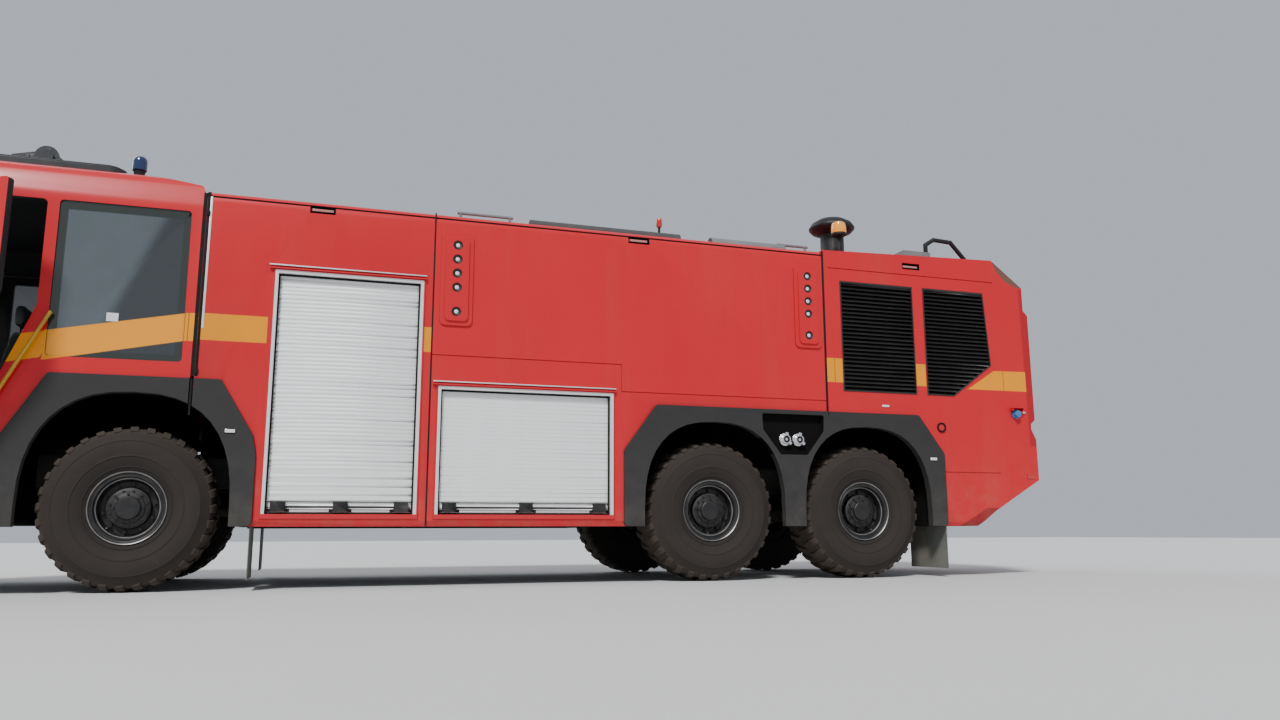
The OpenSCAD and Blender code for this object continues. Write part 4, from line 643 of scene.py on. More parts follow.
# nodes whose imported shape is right: (node, piece, materials, soft edge, pick)
copies = [
    ("cab_shell", "cabPanels", ["cabPaint", "cabLining", "blackRubber", "wellBlack"], 0.005, pickCab),
    ("cab_floor", "cabLower", ["cabPaint", "cabLining", "blackPlastic", "wellBlack"], 0.005, pickFloor),
    ("body_front", "bodyFront", ["frontPaint", "wellBlack"], 0.005, pickBody),
    ("body_mid", "bodyMid", ["midPaint", "wellBlack"], 0.005, pickBody),
    ("body_rear", "bodyRear", ["rearPaint", "wellBlack"], 0.005, pickRear),
    ("door_left", "doorLeft", ["cabPaint", "blackPlastic", "blackRubber"], 0.003, doorPick(1)),
    ("door_right", "doorRight", ["cabPaint", "blackPlastic", "blackRubber"], 0.003, doorPick(-1)),
    ("lamp_pods", "lampPods", ["midPaint"], 0.003),
    ("front_flares", "frontFlares", ["flareGrey", "mudRubber"], 0.006, zonePick("mudFlap")),
    ("rear_flares", "rearFlares", ["flareGrey", "mudRubber", "wellBlack"], 0.006, pickRearFlares),
    ("front_bumper", "frontBumper", ["flareGrey", "blackPlastic"], 0.006, pickBumper),
    ("shutters_front", "shuttersFront", ["shutter", "blackPlastic"], 0, zonePick("latch")),
    ("shutters_mid", "shuttersMid", ["shutter", "blackPlastic"], 0, zonePick("latch")),
    ("shutter_frames", "shutterFrames", ["curtainFrame", "midPaint", "blackRubber"], 0.003, pickFrames),
    ("engine_block", "engineBlock", ["engineGrey"], 0.006),
    ("chassis_frame", "chassisFrame", ["chassisBlack"], 0.002),
    ("front_axle", "frontAxle", ["chassisBlack"]),
    ("rear_axles", "rearAxles", ["chassisBlack"]),
    ("knuckle_left", "knuckleLeft", ["chassisBlack"]),
    ("knuckle_right", "knuckleRight", ["chassisBlack"]),
    ("dashboard", "dashBoard", ["blackPlastic"], 0.006),
    ("mirrors", "mirrorArms", ["blackPlastic"], 0.006),
    ("louvre_grilles", "louvreGrilles", ["louvreBlack"]),
    ("roof_deck", "roofDeck", ["roofMetal", "hoseGrey", "gripGrey"], 0.003, zonePick("hoseCover", "walkway")),
    ("monitor_bases", "monitorBases", ["monitorGrey"], 0.005),
    ("roof_monitor_yoke", "roofMonitorFork", ["monitorGrey"], 0.003),
    ("roof_monitor_barrel", "roofMonitorBarrel", ["monitorGrey"], 0.002),
    ("bumper_monitor_yoke", "bumperMonitorFork", ["monitorGrey"], 0.002),
    ("bumper_monitor_barrel", "bumperMonitorBarrel", ["monitorGrey"], 0.001),
    ("vent_cap", "ventCap", ["blackPlastic"]),
    ("roof_hoops", "roofHoops", ["blackPlastic"]),
    ("handrails", "handRails", ["yellowPaint", "frameMetal"], 0, zonePick("ladder")),
    ("cab_glass", "cabGlass", ["screenGlass", "quarterGlass"], 0, zonePick("quarterPane")),
    ("door_left_glass", "doorLeftGlass", ["doorGlass"]),
    ("door_right_glass", "doorRightGlass", ["doorGlass"]),
]
for row in copies:
    softCopy(*row)
print("copied nodes", len(copies))


# these stand a shape made along +Z on the vehicle's left side, front or rear
toLeft = turned(-90, "X")
toFront = turned(90, "Y")
toRear = turned(-90, "Y")

# black rubber on the left side, as (lowest corner, highest corner, soft edge)
seals = {
    "cabGap": ((2.7305, 1.43, 1.785), (2.7595, 1.496, 3.405)),
    "gapLip": ((2.706, skinY, 1.785), (2.7285, 1.5038, 3.405), 0.0015),
    "gapOnArch": ((2.737, 1.5222, 1.45), (2.753, 1.523, 1.76)),
    "rearSeam": ((-3.312, skinY, 1.705), (-3.288, 1.5018, 3.425), 0.0005),
    "midSeam": ((0.758, skinY, 0.535), (0.772, 1.5018, 3.425), 0.0005),
    "lowStop": ((2.7, 1.501, 1.8), (2.7285, 1.512, 1.845), 0.003),
    "highStop": ((2.7, 1.501, 3.2), (2.7285, 1.512, 3.245), 0.003),
    "gapCap": ((2.7, skinY, 3.385), (2.7285, 1.508, 3.412), 0.002),
}
curtainSeals = {
    "inset": 0.0405, "wide": 0.014, "back": 1.456, "sideFace": 1.48, "headFace": 1.482, "headTop": 0.041,
    "footY": (1.466, 1.469), "footZ": (0.0005, 0.016),
    "lineFace": 1.4672, "lines": ((0.688, 0.694), (0.738, 0.742)),
}
railInset = 0.056


def rubberSeals():
    bm = bmesh.new()
    for box in seals.values():
        addBox(bm, *box)
    s = curtainSeals
    for rear, front, top in curtains.values():
        a, b, high = rear + s["inset"], front - s["inset"], top - s["headTop"]
        for x in (a, b - s["wide"]):
            addBox(bm, (x, s["back"], sill), (x + s["wide"], s["sideFace"], high), 0.002)
        addBox(bm, (a, s["back"], high - 0.015), (b, s["headFace"], high), 0.002)
        addBox(bm, (a, s["footY"][0], sill + s["footZ"][0]), (b, s["footY"][1], sill + s["footZ"][1]), 0.001)
        for low, high in s["lines"]:
            addBox(bm, (rear + railInset, slatY, low), (front - railInset, s["lineFace"], high))
    mirrored(bm)
    finishPiece(bm, "rubberSeals", ["blackRubber"], "black_plastic")


strips = {
    "rail": ((0.75, 0.76, 1.4712), (0.654, 0.668, 1.4702)),  # bottom, top and face of those on the end rails
    "rainX": (-0.009, 0.039), "rainTop": 0.0325,  # past the curtain's ends, and above its top
    "rain": ((0.0303, 1.5004, 1.529, 0.0008), (0.023, 1.53, 1.5312, 0.0005)),  # bottom, back, face, soft edge
    "behindCab": ((2.686, skinY, 2.2), (2.7035, 1.503, 3.375), 0.001),
}


def paleStrips():  # bright metal on the end rails, over the curtains and behind the cab
    bm = bmesh.new()
    for rear, front, top in curtains.values():
        for low, high, face in strips["rail"]:
            addBox(bm, (rear + railInset, slatY, low), (front - railInset, face, high), 0.0015)
        a, b, high = rear + strips["rainX"][0], front + strips["rainX"][1], top + strips["rainTop"]
        for low, back, face, soft in strips["rain"]:
            addBox(bm, (a, back, top + low), (b, face, high), soft)
    addBox(bm, *strips["behindCab"])
    mirrored(bm)
    finishPiece(bm, "paleStrips", ["frameMetal"], "bare_aluminium")


def boxPiece(name, finish, slotName, boxes, sides=2):  # a piece that is only boxes, on both sides or the left
    bm = bmesh.new()
    for box in boxes:
        addBox(bm, *box)
    if sides == 2:
        mirrored(bm)
    finishPiece(bm, name, [finish], slotName)


label = ((3.342, 1.4886, 2.216), (3.432, 1.4894, 2.288))  # the blank white sticker on the left quarter glass
# a black screen behind the louvres, painted shade for the dark space inside
shadeScreens = {"x": ((-4.42, -3.475), (-5.4, -4.505)), "y": (1.402, 1.406), "z": (1.895, 3.135)}
mirror = {"x": (5.422, 5.426), "y": (1.66, 1.92), "z": ((2.64, 3.0), (2.436, 2.616))}  # two glasses a side
treads = {"tops": (0.91, 1.22), "count": 14, "back": 4.375, "pitch": 0.0425, "y": (1.262, 1.478)}


def shadeScreenBoxes():
    return [(*zip(x, shadeScreens["y"], shadeScreens["z"]), 0.0015) for x in shadeScreens["x"]]


def glassBoxes():
    return [(*zip(mirror["x"], mirror["y"], z), 0.0014) for z in mirror["z"]]


def treadBoxes():  # raised grip bars on the entry steps
    bars = [treads["back"] + i * treads["pitch"] for i in range(treads["count"])]
    low, high = treads["y"]
    return [((x, low, top - 0.001), (x + 0.016, high, top + 0.003), 0.001, 0, 1)
            for top in treads["tops"] for x in bars]


rubberSeals()
paleStrips()
boxPiece("quarterLabel", "plainWhite", "coupling_metal", [label], sides=1)
boxPiece("louvreShadeScreens", "wellBlack", "black_plastic", shadeScreenBoxes())

lampMats = ["blackPlastic", "lensClear", "lensAmber", "lensRed", "chrome", "lensRose"]
black, clear, amber, red, chrome, rose = range(6)
lamps = {
    "pod": (0.019, 0.0425, 0.0165, 0.006), "tail": (0.048, 0.0575, 0.018, 0.007),  # lens, ring, depth, dome
    "podX": (0.555, -3.1), "podY": 1.5125, "podZ": (3.125, 2.99, 2.855, 2.72, 2.49),
    "tailY": 1.24, "tails": ((1.41, amber), (1.27, red), (1.13, red)),
    "arches": ((2.418, 1.327), (-4.54, 1.234)), "headY": (0.745, 0.935), "headZ": 0.82,
    # half length, half height, back, face, soft edge, material
    "marker": ((0.1, 0.015, 1.4703, 1.48, 0.003, black), (0.092, 0.011, 1.4795, 1.487, 0.003, rose)),
    "arch": ((0.045, 0.018, flareY, 1.527, 0.002, black), (0.04, 0.014, 1.5265, 1.5335, 0.003, clear)),
    # boxes: under the rear grille, low at the tail, and the corner lamp with its base
    "single": (((-4.037, skinY, 1.774), (-3.953, 1.51, 1.796), 0.0045, clear, 3),
               ((-5.86, skinY, 1.045), (-5.76, 1.5085, 1.1), 0.003, red),
               ((bumperX, 1.025, 0.74), (5.876, 1.08, 0.9), 0.006, black),
               ((5.8755, 1.03, 0.746), (5.885, 1.075, 0.894), 0.004, amber)),
    # (radius, height) outlines
    "bowl": [(0, 0), (0.078, 0), (0.082, 0.01), (0.082, 0.052), (0.078, 0.056), (0.07, 0.05),
             (0.068, 0.04), (0.03, 0.012), (0, 0.01)],
    "bulb": [(0, 0.011), (0.016, 0.014), (0.018, 0.026), (0.01, 0.034), (0, 0.035)],
    "headGlass": [(0.071, 0.05), (0.06, 0.054), (0.035, 0.0575), (0, 0.0585)],
    "workPlace": (-1.578, 1.16), "workFoot": 3.455, "workTop": 3.62,
    "work": [(0, 3.618), (0.02, 3.618), (0.031, 3.636), (0.031, 3.7), (0.024, 3.716), (0, 3.7245)],
    "warnPlace": (-3.622, 1.32), "warnTop": 3.674,
    "warnBase": [(0, 3.6756), (0.07, 3.6756), (0.084, 3.684), (0.084, 3.706), (0, 3.706)],
    "warnDome": [(0.08, 3.705), (0.083, 3.72), (0.081, 3.78), (0.072, 3.818), (0.05, 3.834), (0, 3.8395)],
}


def roundLamp(lens, ring, deep, dome):  # a lens in its dark ring, standing on its foot along +Z
    bm = bmesh.new()
    rim = deep - 0.006  # the height at which the lens starts
    addLathe(bm, [(0, 0), (ring, 0), (ring, deep), (ring * 0.93, deep + 0.002),
                  (ring * 0.8, deep - 0.002), (lens * 1.1, deep - 0.004), (lens, rim)], 32, black)
    addLathe(bm, [(lens, rim), (lens * 0.8, rim + dome * 0.55), (lens * 0.45, rim + dome * 0.9),
                  (0, rim + dome)], 32, clear)
    outward(bm)
    return smallMesh(bm, "roundLamp")


def headLamp():
    bm = bmesh.new()
    addLathe(bm, lamps["bowl"], 40, chrome)
    addLathe(bm, lamps["bulb"], 20, clear)
    addLathe(bm, lamps["headGlass"], 40, clear)
    outward(bm)
    return smallMesh(bm, "headLamp")


def roofLamps(bm):  # the red work lamp and the amber warning lamp, each on its post
    x, y = lamps["workPlace"]
    addTube(bm, (x, y, deckZ), (x, y, lamps["workFoot"]), 0.031, 24, black)
    addTube(bm, (x, y, lamps["workFoot"]), (x, y, lamps["workTop"]), 0.014, 20, black)
    addLathe(bm, lamps["work"], 28, red, (x, y, 0))
    x, y = lamps["warnPlace"]
    addTube(bm, (x, y, deckZ), (x, y, lamps["warnTop"]), 0.022, 20, black)
    addLathe(bm, lamps["warnBase"], 40, black, (x, y, 0))
    addLathe(bm, lamps["warnDome"], 40, amber, (x, y, 0))


def lampSet():
    bm = bmesh.new()
    pods = [(x, lamps["podY"], z) for x in lamps["podX"] for z in lamps["podZ"]]
    stamp(bm, roundLamp(*lamps["pod"]), [Matrix.Translation(p) @ toLeft for p in pods])
    flat = [(x, markers["z"], *row) for x in markers["x"] for row in lamps["marker"]]
    flat += [(x, z, *row) for x, z in lamps["arches"] for row in lamps["arch"]]
    for x, z, half, high, back, face, soft, mat in flat:
        addBox(bm, (x - half, back, z - high), (x + half, face, z + high), soft, mat)
    for box in lamps["single"]:
        addBox(bm, *box)
    heads = [(bumperX, y, lamps["headZ"]) for y in lamps["headY"]]
    stamp(bm, headLamp(), [Matrix.Translation(p) @ toFront for p in heads])
    for z, lens in lamps["tails"]:
        tail = roundLamp(*lamps["tail"])
        setMaterial([poly for poly in tail.polygons if poly.material_index == clear], lens)
        stamp(bm, tail, [Matrix.Translation((tailX, lamps["tailY"], z)) @ toRear])
    roofLamps(bm)
    mirrored(bm)
    finishPiece(bm, "lampSet", lampMats, "lamp_lens", stands=["lamps"])


beacon = {
    "place": (axleX[0] + 0.195, 1.0, 0), "seat": 3.7095,
    "foot": [(0, cabRoofZ), (0.0495, cabRoofZ), (0.0495, 3.582), (0.046, 3.59), (0.046, 3.69),
             (0.0495, 3.698), (0.0495, 3.7095), (0, 3.7095)],
    "dome": [(0.057, 3.7095), (0.061, 3.714), (0.0615, 3.79), (0.058, 3.818), (0.046, 3.836), (0.03, 3.844),
             (0, 3.845)],
}


def beaconSet():  # the blue ones on the cab's roof
    bm = bmesh.new()
    addLathe(bm, beacon["foot"], 40, 0, beacon["place"])
    addLathe(bm, beacon["dome"], 48, 1, beacon["place"])
    addLathe(bm, [(0, beacon["seat"]), (0.0575, beacon["seat"])], 48, 0, beacon["place"])
    mirrored(bm)
    finishPiece(bm, "beaconSet", ["blackPlastic", "lensBlue"], "blue_lens", stands=["beacons"])


metal, dark, blue, painted = range(4)
outlet = {
    "x": (-2.815, -2.965), "y": 1.4577, "z": 1.4, "lugs": 3, "lugTurn": 20,
    "body": [(0, 0), (0.062, 0), (0.064, 0.003), (0.064, 0.01), (0.06, 0.013), (0.047, 0.015),
             (0.047, 0.026), (0.043, 0.029), (0.043, 0.036), (0.0478, 0.039), (0.0478, 0.05), (0.044, 0.0545),
             (0.036, 0.0545), (0.034, 0.046)],
    "throat": [(0.034, 0.046), (0.03, 0.04), (0.016, 0.04)],
    "valve": [(0.016, 0.04), (0.014, 0.049), (0, 0.051)],
    "lug": ((0.04, -0.017, 0.016), (0.073, 0.017, 0.046), 0.006),
    "socketPlace": (-4.68, skinY, 1.577), "socketCap": [(0.034, 0.004), (0, 0.003)],
    "socket": [(0.054, 0), (0.0545, 0.01), (0.049, 0.0135), (0.043, 0.0135), (0.04, 0.009), (0.034, 0.004)],
    "plugPlace": (-5.66, skinY, 1.755),
    "plug": [(0, 0), (0.05, 0), (0.0515, 0.004), (0.0515, 0.018), (0.042, 0.022), (0.04, 0.05),
             (0.036, 0.058), (0.028, 0.0595), (0, 0.0595)],
    # the plug's hood and its two cheeks, and the catch beside it
    "hood": (((-5.73, skinY, 1.8153), (-5.59, 1.5745, 1.8215), 0.002, painted),
             ((-5.728, skinY, 1.79), (-5.722, 1.56, 1.816), 0.001, painted),
             ((-5.598, skinY, 1.79), (-5.592, 1.56, 1.816), 0.001, painted),
             ((-5.79, skinY, 1.766), (-5.755, 1.514, 1.79), 0.003, metal)),
}


def couplingMesh():
    bm = bmesh.new()
    addLathe(bm, outlet["body"], 48, metal)
    addLathe(bm, outlet["throat"], 48, dark)
    addLathe(bm, outlet["valve"], 48, metal)
    lug = bmesh.new()
    addBox(lug, *outlet["lug"])
    turns = [outlet["lugTurn"] + 360 * i / outlet["lugs"] for i in range(outlet["lugs"])]
    stamp(bm, smallMesh(lug, "lug"), [turned(turn, "Z") for turn in turns])
    return smallMesh(bm, "couplingShape")


def outletSet():  # the couplings in the niche, the round socket and the plug at the tail
    bm = bmesh.new()
    places = [(x, outlet["y"], outlet["z"]) for x in outlet["x"]]
    stamp(bm, couplingMesh(), [Matrix.Translation(p) @ toLeft for p in places])
    addLathe(bm, outlet["socket"], 48, dark, outlet["socketPlace"], sideways)
    addLathe(bm, outlet["socketCap"], 48, painted, outlet["socketPlace"], sideways)
    addLathe(bm, outlet["plug"], 40, blue, outlet["plugPlace"], sideways)
    for box in outlet["hood"]:
        addBox(bm, *box)
    mirrored(bm)
    mats = ["coupling", "blackRubber", "plugBlue", "midPaint"]
    finishPiece(bm, "outletSet", mats, "coupling_metal", stands=["outlets"])


lampSet()
beaconSet()
outletSet()
print("lamps and outlets done")

wiper = {
    "foot": (2.4, 1.66), "head": (2.06, 3.5),  # the windscreen's line, as (x ahead of the first axle, z)
    "pivots": (0.9, -0.18), "lean": -0.42, "low": -0.02, "reach": 0.8, "blade": (0.34, 1.26), "tilt": 0.06,
}


def wipers():
    bm = bmesh.new()
    foot, head = (Vector((axleX[0] + x, 0, z)) for x, z in (wiper["foot"], wiper["head"]))
    up = (head - foot).normalized()
    out = Vector((up.z, 0, -up.x))

    def onScreen(y, high, off):
        return foot + up * high + out * off + Vector((0, y, 0))

    lean, low, reach, tilt = wiper["lean"], wiper["low"], wiper["reach"], wiper["tilt"]
    for y in wiper["pivots"]:
        addTube(bm, onScreen(y, low, -0.004), onScreen(y, low, 0.034), 0.02, 20)
        addSweep(bm, [onScreen(y, low, 0.02), onScreen(y + lean * 0.1, 0.05, 0.03),
                      onScreen(y + lean * 0.6, 0.46, 0.034), onScreen(y + lean, reach, 0.022)], 0.008, 8)
        addSweep(bm, [onScreen(y + lean - tilt, wiper["blade"][0], 0.016), onScreen(y + lean, reach, 0.02),
                      onScreen(y + lean + tilt, wiper["blade"][1], 0.016)], 0.007, 8)
    finishPiece(bm, "wipers", ["blackPlastic"], "black_plastic")


boxPiece("mirrorGlasses", "chrome", "coupling_metal", glassBoxes())
boxPiece("stepTreads", "frameMetal", "bare_aluminium", treadBoxes())
wipers()

tyre = {
    "section": [(0.27, 0.214), (0.292, 0.226), (0.3, 0.24), (0.33, 0.252), (0.334, 0.258), (0.34, 0.259),
                (0.344, 0.255), (0.38, 0.268), (0.42, 0.279), (0.424, 0.284), (0.432, 0.284), (0.436, 0.281),
                (0.48, 0.287), (0.52, 0.286), (0.548, 0.281), (0.552, 0.284), (0.56, 0.281), (0.565, 0.276),
                (0.6, 0.263), (0.636, 0.24), (0.654, 0.208), (0.661, 0.15), (0.664, 0.08), (0.665, 0)],
    # a shoulder block, as (out from the middle, radius) from the tread to over the shoulder
    "block": [(0.028, 0.683), (0.15, 0.681), (0.206, 0.673), (0.24, 0.658), (0.256, 0.636)],
    "blocks": 32, "blockTurn": 10.0, "blockWide": 0.072, "blockFoot": 0.64, "taper": 0.006, "onTread": 3,
}


def treadBlock():
    bm = bmesh.new()
    before = []
    for i, (h, r) in enumerate(tyre["block"]):
        half = tyre["blockWide"] * (1.0 if i else 0.9) / 2
        foot = (tyre["blockFoot"], h) if i < tyre["onTread"] else (r - 0.03, h - 0.014)
        ring = [bm.verts.new((*foot, s * half)) for s in (-1, 1)]
        ring += [bm.verts.new((r, h, s * (half - tyre["taper"]))) for s in (1, -1)]
        edges = [bm.edges.new((ring[k], ring[(k + 1) % 4])) for k in range(4)]
        if i:
            ops.bridge_loops(bm, edges=before + edges)
        if i in (0, len(tyre["block"]) - 1):
            ops.contextual_create(bm, geom=edges)
        before = edges
    ops.recalc_face_normals(bm, faces=bm.faces)
    soften(bm, list(bm.edges), 0.004, 1)
    return smallMesh(bm, "treadBlock")


def tyreMesh():
    bm = bmesh.new()
    half = tyre["section"]
    addLathe(bm, half + [(r, -h) for r, h in half[-2::-1]], 96, axis=sideways)
    outward(bm)
    lean = turned(tyre["blockTurn"], "X")
    places = []
    for i in range(tyre["blocks"]):
        for side, shift in ((1, 0), (-1, 0.5)):
            turn = Matrix.Rotation(tau * (i + shift) / tyre["blocks"], 4, "Y")
            places.append(turn @ Matrix.Diagonal((1, side, 1, 1)) @ lean)
    stamp(bm, treadBlock(), places)
    return smallMesh(bm, "tyreShape")


wheel = {
    "dish": [(0.25, -0.246), (0.3, -0.258), (0.3, -0.244), (0.266, -0.212), (0.262, 0.2), (0.268, 0.214),
             (0.28, 0.222), (0.299, 0.232), (0.302, 0.246), (0.298, 0.254), (0.29, 0.25), (0.282, 0.24),
             (0.27, 0.236), (0.265, 0.24), (0.257, 0.24), (0.252, 0.232), (0.248, 0.206), (0.244, 0.201),
             (0.238, 0.201), (0.234, 0.194), (0.23, 0.15), (0.226, 0.126), (0.216, 0.118), (0.176, 0.116),
             (0.17, 0.112)],
    "hub": [(0.168, 0.07), (0.168, 0.166), (0.161, 0.178), (0.15, 0.183), (0.128, 0.186), (0.126, 0.196),
            (0.108, 0.202), (0.1, 0.204), (0.096, 0.222), (0.088, 0.228), (0.05, 0.23), (0, 0.23)],
    "back": [(0.17, 0.112), (0, 0.112)],
    "bright": [(0.289, 0.303, 0.246), (0.237, 0.249, 0.2), (0.159, 0.169, 0.165)],  # radii, least y
    "nut": (0.016, 0.026, True), "bolt": (0.009, 0.012, False),
    "rings": [("nut", 10, 0.198, 0.116), ("bolt", 12, 0.141, 0.184), ("bolt", 8, 0.113, 0.199)],
    "valve": ((0.232, 0.128, 0), (0.222, 0.19, 0), 0.006),
}


def hexNut(radius, height, stud):
    bm = bmesh.new()
    addTube(bm, (0, 0, 0), (0, 0, height * 0.25), radius * 1.35, 20)
    addTube(bm, (0, 0, height * 0.25), (0, 0, height), radius, 6)
    if stud:
        addTube(bm, (0, 0, height), (0, 0, height * 1.5), radius * 0.5, 12)
    return smallMesh(bm, "hexNut")


def wheelMesh():
    bm = bmesh.new()
    addLathe(bm, wheel["dish"], 96, axis=sideways)
    addLathe(bm, wheel["hub"], 64, axis=sideways)
    addLathe(bm, wheel["back"], 48, axis=sideways)
    outward(bm)
    for face in bm.faces:
        c = face.calc_center_median()
        r = hypot(c.x, c.z)
        face.material_index = int(any(a < r < b and c.y > low for a, b, low in wheel["bright"]))
    fixings = {kind: hexNut(*wheel[kind]) for kind in ("nut", "bolt")}
    for kind, count, ring, y in wheel["rings"]:
        turns = [Matrix.Rotation(tau * i / count, 4, "Y") for i in range(count)]
        stamp(bm, fixings[kind], [turn @ Matrix.Translation((ring, y, 0)) @ toLeft for turn in turns])
    addTube(bm, *wheel["valve"], 10, 1)
    return smallMesh(bm, "wheelShape")


def onWheels():
    shapes = {"tyre": tyreMesh(), "wheel": wheelMesh()}
    looks = (("tyre", ["tyre"], "tyre_rubber"), ("wheel", ["rim", "rimEdge"], "wheel_paint"))
    for kind, look, slotName in looks:
        for number, x in enumerate(axleX, 1):
            for side, word in ((1, "left"), (-1, "right")):
                bm = bmesh.new()
                bm.from_mesh(shapes[kind])
                turn = turned(37 * number + 11 * side, "Y")  # no two stand alike
                ops.transform(bm, matrix=Matrix.Diagonal((1, side, 1, 1)) @ turn, verts=bm.verts)
                if side < 0:
                    ops.reverse_faces(bm, faces=bm.faces)
                layer = bm.verts.layers.float_vector.new("onWheel")
                for v in bm.verts:
                    v[layer] = v.co
                ops.translate(bm, vec=Vector((x, side * tyreY, hubZ)), verts=bm.verts)
                finishPiece(bm, f"{kind}{number}{word.title()}", look, slotName, f"axle_{number}_wheel_{word}",
                            [f"{kind}_{number}_{word}"], sharp=28.0, recalc=False)


onWheels()
print("wheels done")

seat = {
    "places": [(1.29, 0.64, 1.36), (1.29, -0.64, 1.36), (0.1, 0.92, 1.71), (0.1, -0.92, 1.71),
               (0.1, 0, 1.36)],  # feet, with x ahead of the first axle
    # (x, z) outlines, half width, rounding
    "pads": [([(-0.212, 0.322), (0.228, 0.322), (0.228, 0.424), (-0.212, 0.42)], 0.226, 0.03),
             ([(-0.112, 0.446), (-0.184, 0.846), (-0.276, 0.846), (-0.234, 0.42)], 0.226, 0.03),
             ([(-0.262, 0.912), (-0.178, 0.912), (-0.178, 1.098), (-0.262, 1.098)], 0.13, 0.026)],
    "voxel": 0.02, "pressure": 4.0, "frames": 20, "cap": 0.012,
    "seam": 0.007, "seamWide": 0.02, "seamY": 0.135, "seatSeams": (-0.02, 0.12), "backSeams": (0.58, 0.72),
    # the frame's boxes: foot plate, column, two side rails, cross plate
    "frame": (((-0.17, -0.15, 0.0005), (0.17, 0.15, 0.022), 0.004),
              ((-0.13, -0.115, 0.022), (0.14, 0.115, 0.262), 0.012),
              ((-0.165, -0.15, 0.262), (0.165, -0.12, 0.318), 0.006),
              ((-0.165, 0.12, 0.262), (0.165, 0.15, 0.318), 0.006),
              ((-0.15, -0.122, 0.28), (0.15, 0.122, 0.312), 0.006)),
    "postX": -0.222, "postY": 0.06, "postZ": (0.82, 0.95),
}


def facesIn(parts):
    return [part for part in parts if isinstance(part, bmesh.types.BMFace)]


def edgesOf(faces):
    return list({e for face in faces for e in face.edges})


def seatBlank():  # one seat's pads before they are filled, about the seat's own foot
    bm = bmesh.new()
    for corners, half, soft in seat["pads"]:
        verts = [bm.verts.new((x, y, z)) for y in (-half, half) for x, z in corners]
        hull = facesIn(ops.convex_hull(bm, input=verts)["geom"])
        flat = ops.dissolve_limit(bm, angle_limit=radians(1), edges=edgesOf(hull),
                                  verts=list({v for face in hull for v in face.verts}))
        soften(bm, edgesOf(facesIn(flat["region"])), soft, 3)
    outward(bm)
    return smallMesh(bm, "seatBlank")


def solved(thing):  # its shape with its modifiers, as they stand in this frame
    return bpy.data.meshes.new_from_object(thing.evaluated_get(bpy.context.evaluated_depsgraph_get()))


def seatFill(blank):  # swells the blank as cloth over foam and gives the finished pad's mesh
    scene = bpy.context.scene
    pad = addObject("seatFill", blank)
    remesh = pad.modifiers.new("remesh", "REMESH")
    remesh.mode, remesh.voxel_size = "VOXEL", seat["voxel"]
    shape = solved(pad)
    pad.modifiers.clear()
    pad.data = shape
    start = [v.co.copy() for v in shape.vertices]
    cloth = pad.modifiers.new("fill", "CLOTH")
    settings = cloth.settings
    settings.use_pressure = True
    settings.uniform_pressure_force = seat["pressure"]
    settings.effector_weights.gravity = 0.0
    settings.quality = 5
    cloth.point_cache.frame_start, cloth.point_cache.frame_end = 1, seat["frames"]
    for number in range(1, seat["frames"] + 1):
        scene.frame_set(number)
    filled = solved(pad)
    scene.frame_set(1)
    for v, home in zip(filled.vertices, start):
        moved = v.co - home
        if moved.length > seat["cap"]:
            v.co = home + moved * (seat["cap"] / moved.length)
    bpy.data.objects.remove(pad)
    return filled


def sew(mesh):  # pulls the sewn channels in: two along each seat and back, two across
    normals = [v.normal.copy() for v in mesh.vertices]
    for v, n in zip(mesh.vertices, normals):
        x, y, z = v.co
        onSeat, onBack = z < 0.445 and n.z > 0.5, 0.44 < z < 0.87 and n.x > 0.5
        if onSeat or onBack:
            along, seams = (x, seat["seatSeams"]) if onSeat else (z, seat["backSeams"])
            across = [abs(along - seam) for seam in seams]
            pull = max(0, 1.0 - min(abs(abs(y) - seat["seamY"]), *across) / seat["seamWide"])
            v.co = v.co - n * (seat["seam"] * pull * pull * (3.0 - 2.0 * pull))


def atSeats():
    return [Matrix.Translation((axleX[0] + x, y, z)) for x, y, z in seat["places"]]


def seatPads():
    filled = seatFill(seatBlank())
    sew(filled)
    bm = bmesh.new()
    stamp(bm, filled, atSeats())
    pads = finishPiece(bm, "seatPads", ["fabric"], "seat_fabric", stands=["cab_seats"], sharp=75.0)
    smooth = pads.modifiers.new("smooth", "SUBSURF")
    smooth.levels = smooth.render_levels = 1


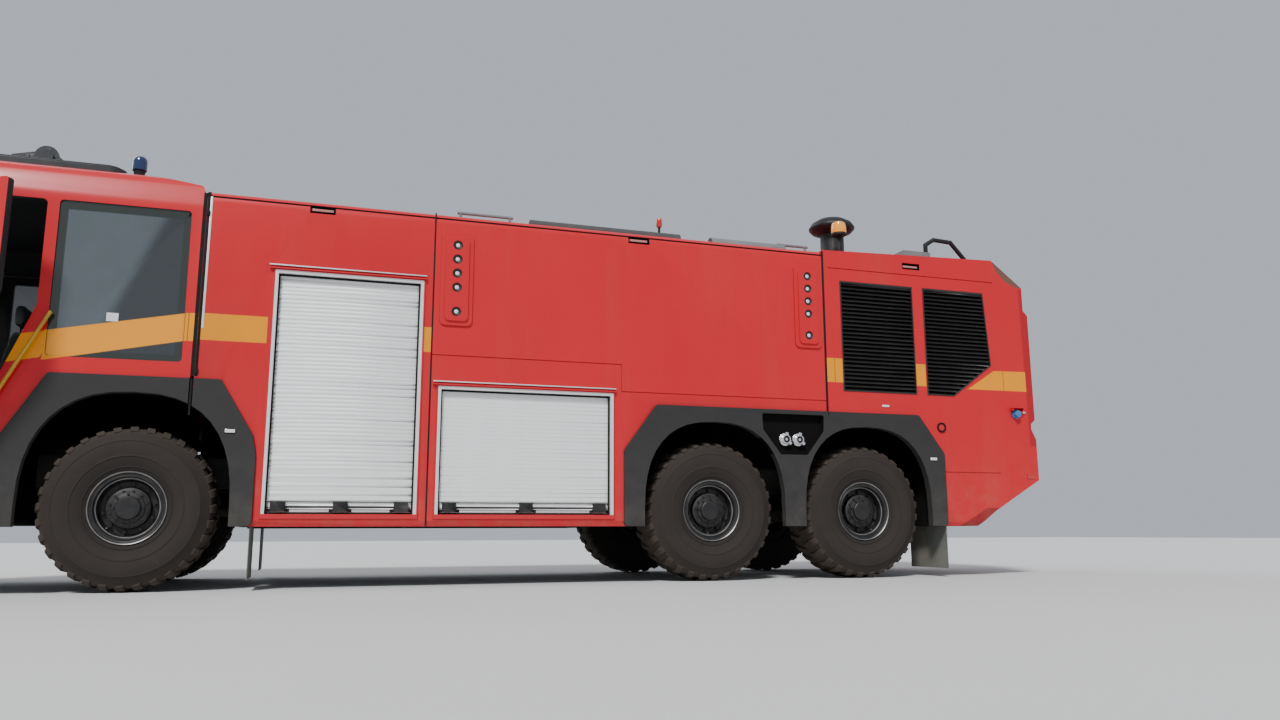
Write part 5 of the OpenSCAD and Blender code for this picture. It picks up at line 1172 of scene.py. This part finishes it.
def seatFrames():  # what carries each seat, with the headrest's two posts
    bm = bmesh.new()
    one = bmesh.new()
    for box in seat["frame"]:
        addBox(one, *box)
    low, high = seat["postZ"]
    for y in (-seat["postY"], seat["postY"]):
        addTube(one, (seat["postX"], y, low), (seat["postX"], y, high), 0.007, 12)
    stamp(bm, smallMesh(one, "seatFrame"), atSeats())
    finishPiece(bm, "seatFrames", ["blackPlastic"], "black_plastic", stands=["cab_seats"])


seatPads()
seatFrames()
print("seats done")

stage = {
    "floor": 60.0, "floorTones": [(0.62, 0.62, 0.61), (0.66, 0.66, 0.65)],
    "sky": (0.8, 0.86, 0.95, 1.0), "skyPower": 0.62,
    "suns": [("key", (38, -22, 175), 3.3, 9), ("fill", (55, 0, 35), 0.7, 40)],  # turns, power, spread
}


def studio():
    bm = bmesh.new()
    ops.create_grid(bm, x_segments=1, y_segments=1, size=stage["floor"])
    mesh = smallMesh(bm, "floor")
    floor = addObject("floor", mesh)
    f = Finish("floorPaint")
    point, (x, y, z) = f.place()
    mesh.materials.append(f.surface(color=f.mix(f.noise(point, 0.5), *stage["floorTones"]), rough=0.85))
    world = bpy.data.worlds.new("studio")
    bpy.context.scene.world = world
    world.use_nodes = True
    sky = world.node_tree.nodes["Background"].inputs
    sky[0].default_value = stage["sky"]
    sky[1].default_value = stage["skyPower"]
    for name, turns, power, spread in stage["suns"]:
        data = bpy.data.lights.new(name, "SUN")
        data.energy, data.angle = power, radians(spread)
        addObject(name, data).rotation_euler = [radians(turn) for turn in turns]


view = {
    "focal": 977.3 / 1280.0, "sensor": 36.0, "far": 200.0,  # focal length as a share of the picture's width
    "yaw": 0.3262, "pitch": 0.1754, "roll": -0.0035, "place": (1.773, 10.425, 0.465),
}


def camera():
    yaw, pitch, roll = view["yaw"], view["pitch"], view["roll"]
    ahead = Vector((-sin(yaw) * cos(pitch), -cos(yaw) * cos(pitch), sin(pitch)))
    right = Vector((-cos(yaw), sin(yaw), 0))
    up = right.cross(ahead)
    right, up = right * cos(roll) + up * sin(roll), up * cos(roll) - right * sin(roll)
    data = bpy.data.cameras.new("view")
    data.sensor_width, data.lens, data.clip_end = view["sensor"], view["sensor"] * view["focal"], view["far"]
    cam = addObject("view", data)
    turn = Matrix((right, up, -ahead)).transposed().to_4x4()
    cam.matrix_world = Matrix.Translation(Vector(view["place"])) @ turn
    bpy.context.scene.camera = cam


studio()
camera()
print("studio done")
